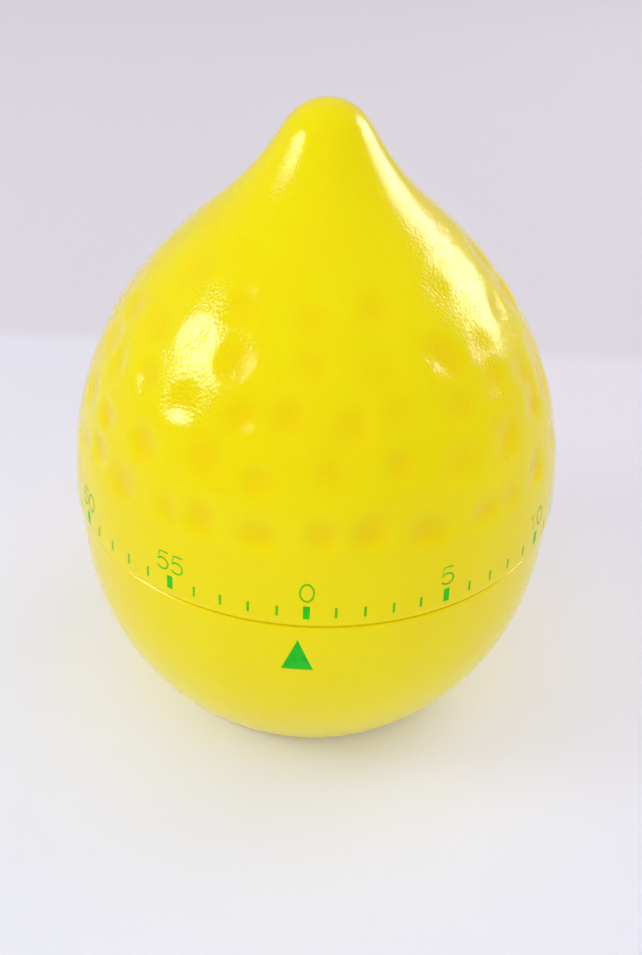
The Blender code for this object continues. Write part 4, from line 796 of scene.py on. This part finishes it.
# ---- The print ------------------------------------------------------------------------------------------
def surface(skin, height):
    """A function that puts flat print on the skin: X runs round it, and Y up it from the height."""
    start = radius_at(skin, height)
    lengths = [0.0]
    for before, after in zip(skin, skin[1:]):
        lengths.append(lengths[-1] + math.dist(before, after))
    zero = 0.0
    for i, point in enumerate(skin[1:], 1):
        if skin[i - 1][1] <= height <= point[1]:
            zero = lengths[i - 1] + math.dist(skin[i - 1], (start, height))

    def place(x, y, lift, turn):
        target = zero + y
        i = 1
        while i < len(skin) - 1 and lengths[i] < target:
            i += 1
        share = (target - lengths[i - 1]) / (lengths[i] - lengths[i - 1])
        low, high = Vector(skin[i - 1]), Vector(skin[i])
        point = low.lerp(high, share)
        along = (high - low).normalized()
        outwards = Vector((along.y, -along.x))
        point += outwards * lift
        return Vector((*around(point.x, turn + x / start), point.y))

    return place


def wrap(verts, place, turn):
    """Bends flat print, drawn in X and Y with its thickness in Z, onto the skin."""
    for vert in verts:
        vert.co = place(vert.co.x, vert.co.y, vert.co.z, turn)


def add_block(shape, width, height, cuts):
    """A flat mark of print, centred, with cuts across it so that it bends with the skin."""
    made = bmesh.ops.create_grid(shape, x_segments=cuts, y_segments=cuts, size=0.5)
    verts = made["verts"]
    bmesh.ops.scale(shape, vec=(width, height, 1), verts=verts)
    faces = list({face for vert in verts for face in vert.link_faces})
    grown = bmesh.ops.extrude_face_region(shape, geom=faces)["geom"]
    raised = [item for item in grown if isinstance(item, bmesh.types.BMVert)]
    bmesh.ops.translate(shape, verts=raised, vec=(0, 0, PRINT_PROUD))
    bmesh.ops.translate(shape, verts=verts, vec=(0, 0, -PRINT_SUNK))
    return verts + raised


def minute_marks(name, material, minutes, size, cuts):
    """The marks of the given minutes, as one piece of print."""
    place = surface(dome_outline(PRINT_FINENESS), MARK_RING)
    shape = bmesh.new()
    for minute in minutes:
        wrap(add_block(shape, *size, cuts), place, FRONT + ZERO_TURN + math.tau * minute / MINUTES)
    bmesh.ops.recalc_face_normals(shape, faces=shape.faces)
    piece(name, shape, material, "dial")


def bow(centre, radii, start, end, count=14):
    """Points on an elliptical arc, its angles in degrees."""
    points = []
    for i in range(count + 1):
        angle = math.radians(start + (end - start) * i / count)
        points.append((centre[0] + radii[0] * math.cos(angle), centre[1] + radii[1] * math.sin(angle)))
    return points


# Each digit's strokes, in a box one unit tall. A stroke is drawn with a round pen.
DIGITS = {
    "0": [bow((0, 0.5), (0.31, 0.46), 90, 450, 28)],
    "1": [[(-0.17, 0.76), (0.05, 0.96), (0.05, 0.04)]],
    "2": [bow((0, 0.70), (0.27, 0.26), 165, -38, 16) + [(-0.29, 0.04), (0.29, 0.04)]],
    "3": [bow((0, 0.735), (0.24, 0.225), 150, -90, 14), bow((0, 0.275), (0.28, 0.235), 90, -155, 16)],
    "4": [[(0.30, 0.29), (-0.30, 0.29), (0.13, 0.96), (0.13, 0.04)]],
    "5": [[(0.29, 0.96), (-0.20, 0.96), (-0.27, 0.50)] + bow((-0.01, 0.335), (0.32, 0.295), 142, -150, 18)],
}


def add_numeral(shape, text, pen):
    """Draws a number with its foot at Y 0, as flat strokes of a constant width, and returns the vertices."""
    drawn = bpy.data.curves.new("pen_strokes", "CURVE")
    drawn.dimensions = "3D"
    drawn.bevel_depth = pen / 2
    drawn.bevel_resolution = 1
    drawn.use_fill_caps = True
    offset = -DIGIT_ADVANCE * (len(text) - 1) / 2
    for digit in text:
        for stroke in DIGITS[digit]:
            spline = drawn.splines.new("POLY")
            closed = math.dist(stroke[0], stroke[-1]) < MERGE
            stroke = stroke[:-1] if closed else stroke
            spline.use_cyclic_u = closed
            spline.points.add(len(stroke) - 1)
            for point, (x, y) in zip(spline.points, stroke):
                point.co = (offset + x * NUMERAL_HEIGHT, y * NUMERAL_HEIGHT, 0, 1)
        offset += DIGIT_ADVANCE
    guide = bpy.data.objects.new("pen_strokes", drawn)
    bpy.context.scene.collection.objects.link(guide)
    bpy.context.view_layer.update()
    mesh = bpy.data.meshes.new_from_object(guide.evaluated_get(bpy.context.evaluated_depsgraph_get()))
    bpy.data.objects.remove(guide)
    before = set(shape.verts)
    shape.from_mesh(mesh)
    bpy.data.meshes.remove(mesh)
    verts = [vert for vert in shape.verts if vert not in before]
    for vert in verts:
        vert.co.z = PRINT_PROUD if vert.co.z > -pen / 20 else -PRINT_SUNK
    return verts


def numerals():
    """The minutes above their marks, every fifth one, as one piece of print."""
    place = surface(dome_outline(PRINT_FINENESS), MARK_RING)
    rise = MAJOR_MARK[1] / 2 + NUMERAL_GAP
    shape = bmesh.new()
    for minute in NUMBERED_MINUTES:
        verts = add_numeral(shape, str(minute), NUMERAL_STROKE)
        bmesh.ops.translate(shape, verts=verts, vec=(0, rise, 0))
        wrap(verts, place, FRONT + ZERO_TURN + math.tau * minute / MINUTES)
    bmesh.ops.remove_doubles(shape, verts=shape.verts, dist=PRINT_MERGE)
    bmesh.ops.recalc_face_normals(shape, faces=shape.faces)
    piece("minute_numerals", shape, numeral_ink, "dial")


def pointer():
    """The triangle on the base that the minutes are read against."""
    apex = SEAM_HEIGHT - POINTER_DROP
    place = surface(cup_outline(PRINT_FINENESS), apex)
    shape = bmesh.new()
    verts = add_block(shape, POINTER_WIDTH, POINTER_HEIGHT, POINTER_CUTS)
    bmesh.ops.translate(shape, verts=verts, vec=(0, -POINTER_HEIGHT / 2, 0))
    for vert in verts:
        vert.co.x *= -vert.co.y / POINTER_HEIGHT
    wrap(verts, place, FRONT + POINTER_TURN)
    bmesh.ops.remove_doubles(shape, verts=shape.verts, dist=MERGE)
    bmesh.ops.recalc_face_normals(shape, faces=shape.faces)
    piece("pointer_triangle", shape, pointer_ink, "base")


# ---- Floor, light and camera ----------------------------------------------------------------------------
def pale_floor():
    """A white sheet that the timer stands on, painted darker towards the back as shade, whose far edge softly
    gives way to a greyer ground.
    """
    made, tree, shader, position = new_material("pale_floor", Roughness=0.8)
    shader.inputs["Specular IOR Level"].default_value = 0.0
    places = tree.nodes.new("ShaderNodeSeparateXYZ")
    tree.links.new(position, places.inputs[0])
    y, rest = places.outputs["Y"], 1.0 - SHEET_PAINTED_SHADE
    # Painted shade: the floor grows darker from front to back across the sheet.
    painted_floor_shade = soft_step(tree, y, SHEET_NEAR, SHEET_EDGE, 0.0, SHEET_PAINTED_SHADE)
    beyond = soft_step(tree, y, SHEET_EDGE, SHEET_EDGE + EDGE_BLUR, 0.0, rest)
    drift = math_node(tree, "MULTIPLY", noise_node(tree, position, FLOOR_GRAIN, 3.0), FLOOR_DRIFT)
    mask = math_node(tree, "ADD", math_node(tree, "ADD", painted_floor_shade, beyond), drift)
    tree.links.new(two_colours(tree, mask, SHEET_COLOUR, GROUND_COLOUR), shader.inputs["Base Color"])
    shape = bmesh.new()
    bmesh.ops.create_grid(shape, x_segments=1, y_segments=1, size=FLOOR_REACH)
    bmesh.ops.translate(shape, verts=shape.verts, vec=(0, 0, -FLOOR_CLEARANCE))
    mesh = bpy.data.meshes.new("floor")
    shape.to_mesh(mesh)
    shape.free()
    mesh.materials.append(made)
    obj = bpy.data.objects.new("floor", mesh)
    bpy.context.scene.collection.objects.link(obj)


def towards(azimuth, elevation, distance):
    """A place seen from the timer's middle. Azimuth 0 is the front and 90 the right."""
    a, e = math.radians(azimuth), math.radians(elevation)
    return Vector((math.sin(a) * math.cos(e), -math.cos(a) * math.cos(e), math.sin(e))) * distance + MIDDLE


def soft_box(name, azimuth, elevation, distance, width, height, colour, power, shine):
    """A soft light as two: one lights surfaces, one shows in their gloss. A fill casts no shadow."""
    for part, energy in (("light", power), ("shine", shine)):
        if not energy:
            continue
        light = bpy.data.lights.new(f"{name}_{part}", "AREA")
        light.shape = "ELLIPSE"
        light.size, light.size_y = width, height
        light.energy = energy
        light.color = colour if part == "light" else (1, 1, 1)
        light.use_shadow = not name.endswith("fill")
        obj = bpy.data.objects.new(light.name, light)
        obj.location = towards(azimuth, elevation, distance)
        obj.rotation_mode = "QUATERNION"
        obj.rotation_quaternion = (obj.location - MIDDLE).to_track_quat("Z", "Y")
        obj.visible_camera = False
        obj.visible_diffuse = part == "light"
        obj.visible_glossy = part == "shine"
        bpy.context.scene.collection.objects.link(obj)


def room():
    """The floor, the even light of the room, and the lights."""
    pale_floor()
    world = bpy.data.worlds.new("pale_room")
    world.use_nodes = True
    bpy.context.scene.world = world
    background = world.node_tree.nodes["Background"]
    background.inputs["Color"].default_value = WORLD_COLOUR
    background.inputs["Strength"].default_value = WORLD_LIGHT
    for name, values in LIGHTS.items():
        soft_box(name, *values)


def camera():
    """The camera: it stands in front and above, pitched down and rolled a little."""
    data = bpy.data.cameras.new("camera")
    data.lens = CAMERA_LENS
    data.clip_start, data.clip_end = 0.005, 20
    obj = bpy.data.objects.new("camera", data)
    forward = Vector((0, math.cos(CAMERA_PITCH), -math.sin(CAMERA_PITCH)))
    right, up = Vector((1, 0, 0)), Vector((0, math.sin(CAMERA_PITCH), math.cos(CAMERA_PITCH)))
    turned_right = right * math.cos(CAMERA_ROLL) + up * math.sin(CAMERA_ROLL)
    turned_up = up * math.cos(CAMERA_ROLL) - right * math.sin(CAMERA_ROLL)
    axes = Matrix((turned_right, turned_up, -forward)).transposed()
    obj.matrix_world = Matrix.Translation(CAMERA_PLACE) @ axes.to_4x4()
    bpy.context.scene.collection.objects.link(obj)
    bpy.context.scene.camera = obj
    bpy.context.scene.view_settings.view_transform = "Standard"


# ---- The movement ---------------------------------------------------------------------------------------
def movement():
    """Every metal piece with its edges broken, as deburred stampings and turned parts have them."""
    bodies = {empty.name: body for body, empty in frame["bodies"].items()}
    for slot, nodes in METAL_PIECES.items():
        for node in nodes:
            solid = frame["nodes"][node]
            shape = bmesh.new()
            shape.from_mesh(solid.data)
            bmesh.ops.remove_doubles(shape, verts=shape.verts, dist=MERGE)
            bmesh.ops.dissolve_limit(shape, angle_limit=FLAT_ENOUGH, verts=shape.verts, edges=shape.edges)
            sharp = [edge for edge in shape.edges if edge.calc_face_angle(0) > SHARP_EDGE]
            bmesh.ops.bevel(
                shape, geom=sharp, offset=BROKEN_EDGE, offset_type="OFFSET", segments=1, profile=0.5,
                affect="EDGES", clamp_overlap=True, material=-1,
            )
            body = bodies[solid.parent.name]
            piece(f"{node}_finished", shape, metal_finishes[slot], body, [node])


room()
camera()
dial_shell()
dial_hub()
base_shell()
foot_ring()
minute_marks("five_minute_marks", mark_ink, NUMBERED_MINUTES, MAJOR_MARK, MAJOR_CUTS)
minute_marks("minute_marks", numeral_ink, PLAIN_MINUTES, MINOR_MARK, MINOR_CUTS)
numerals()
pointer()
movement()
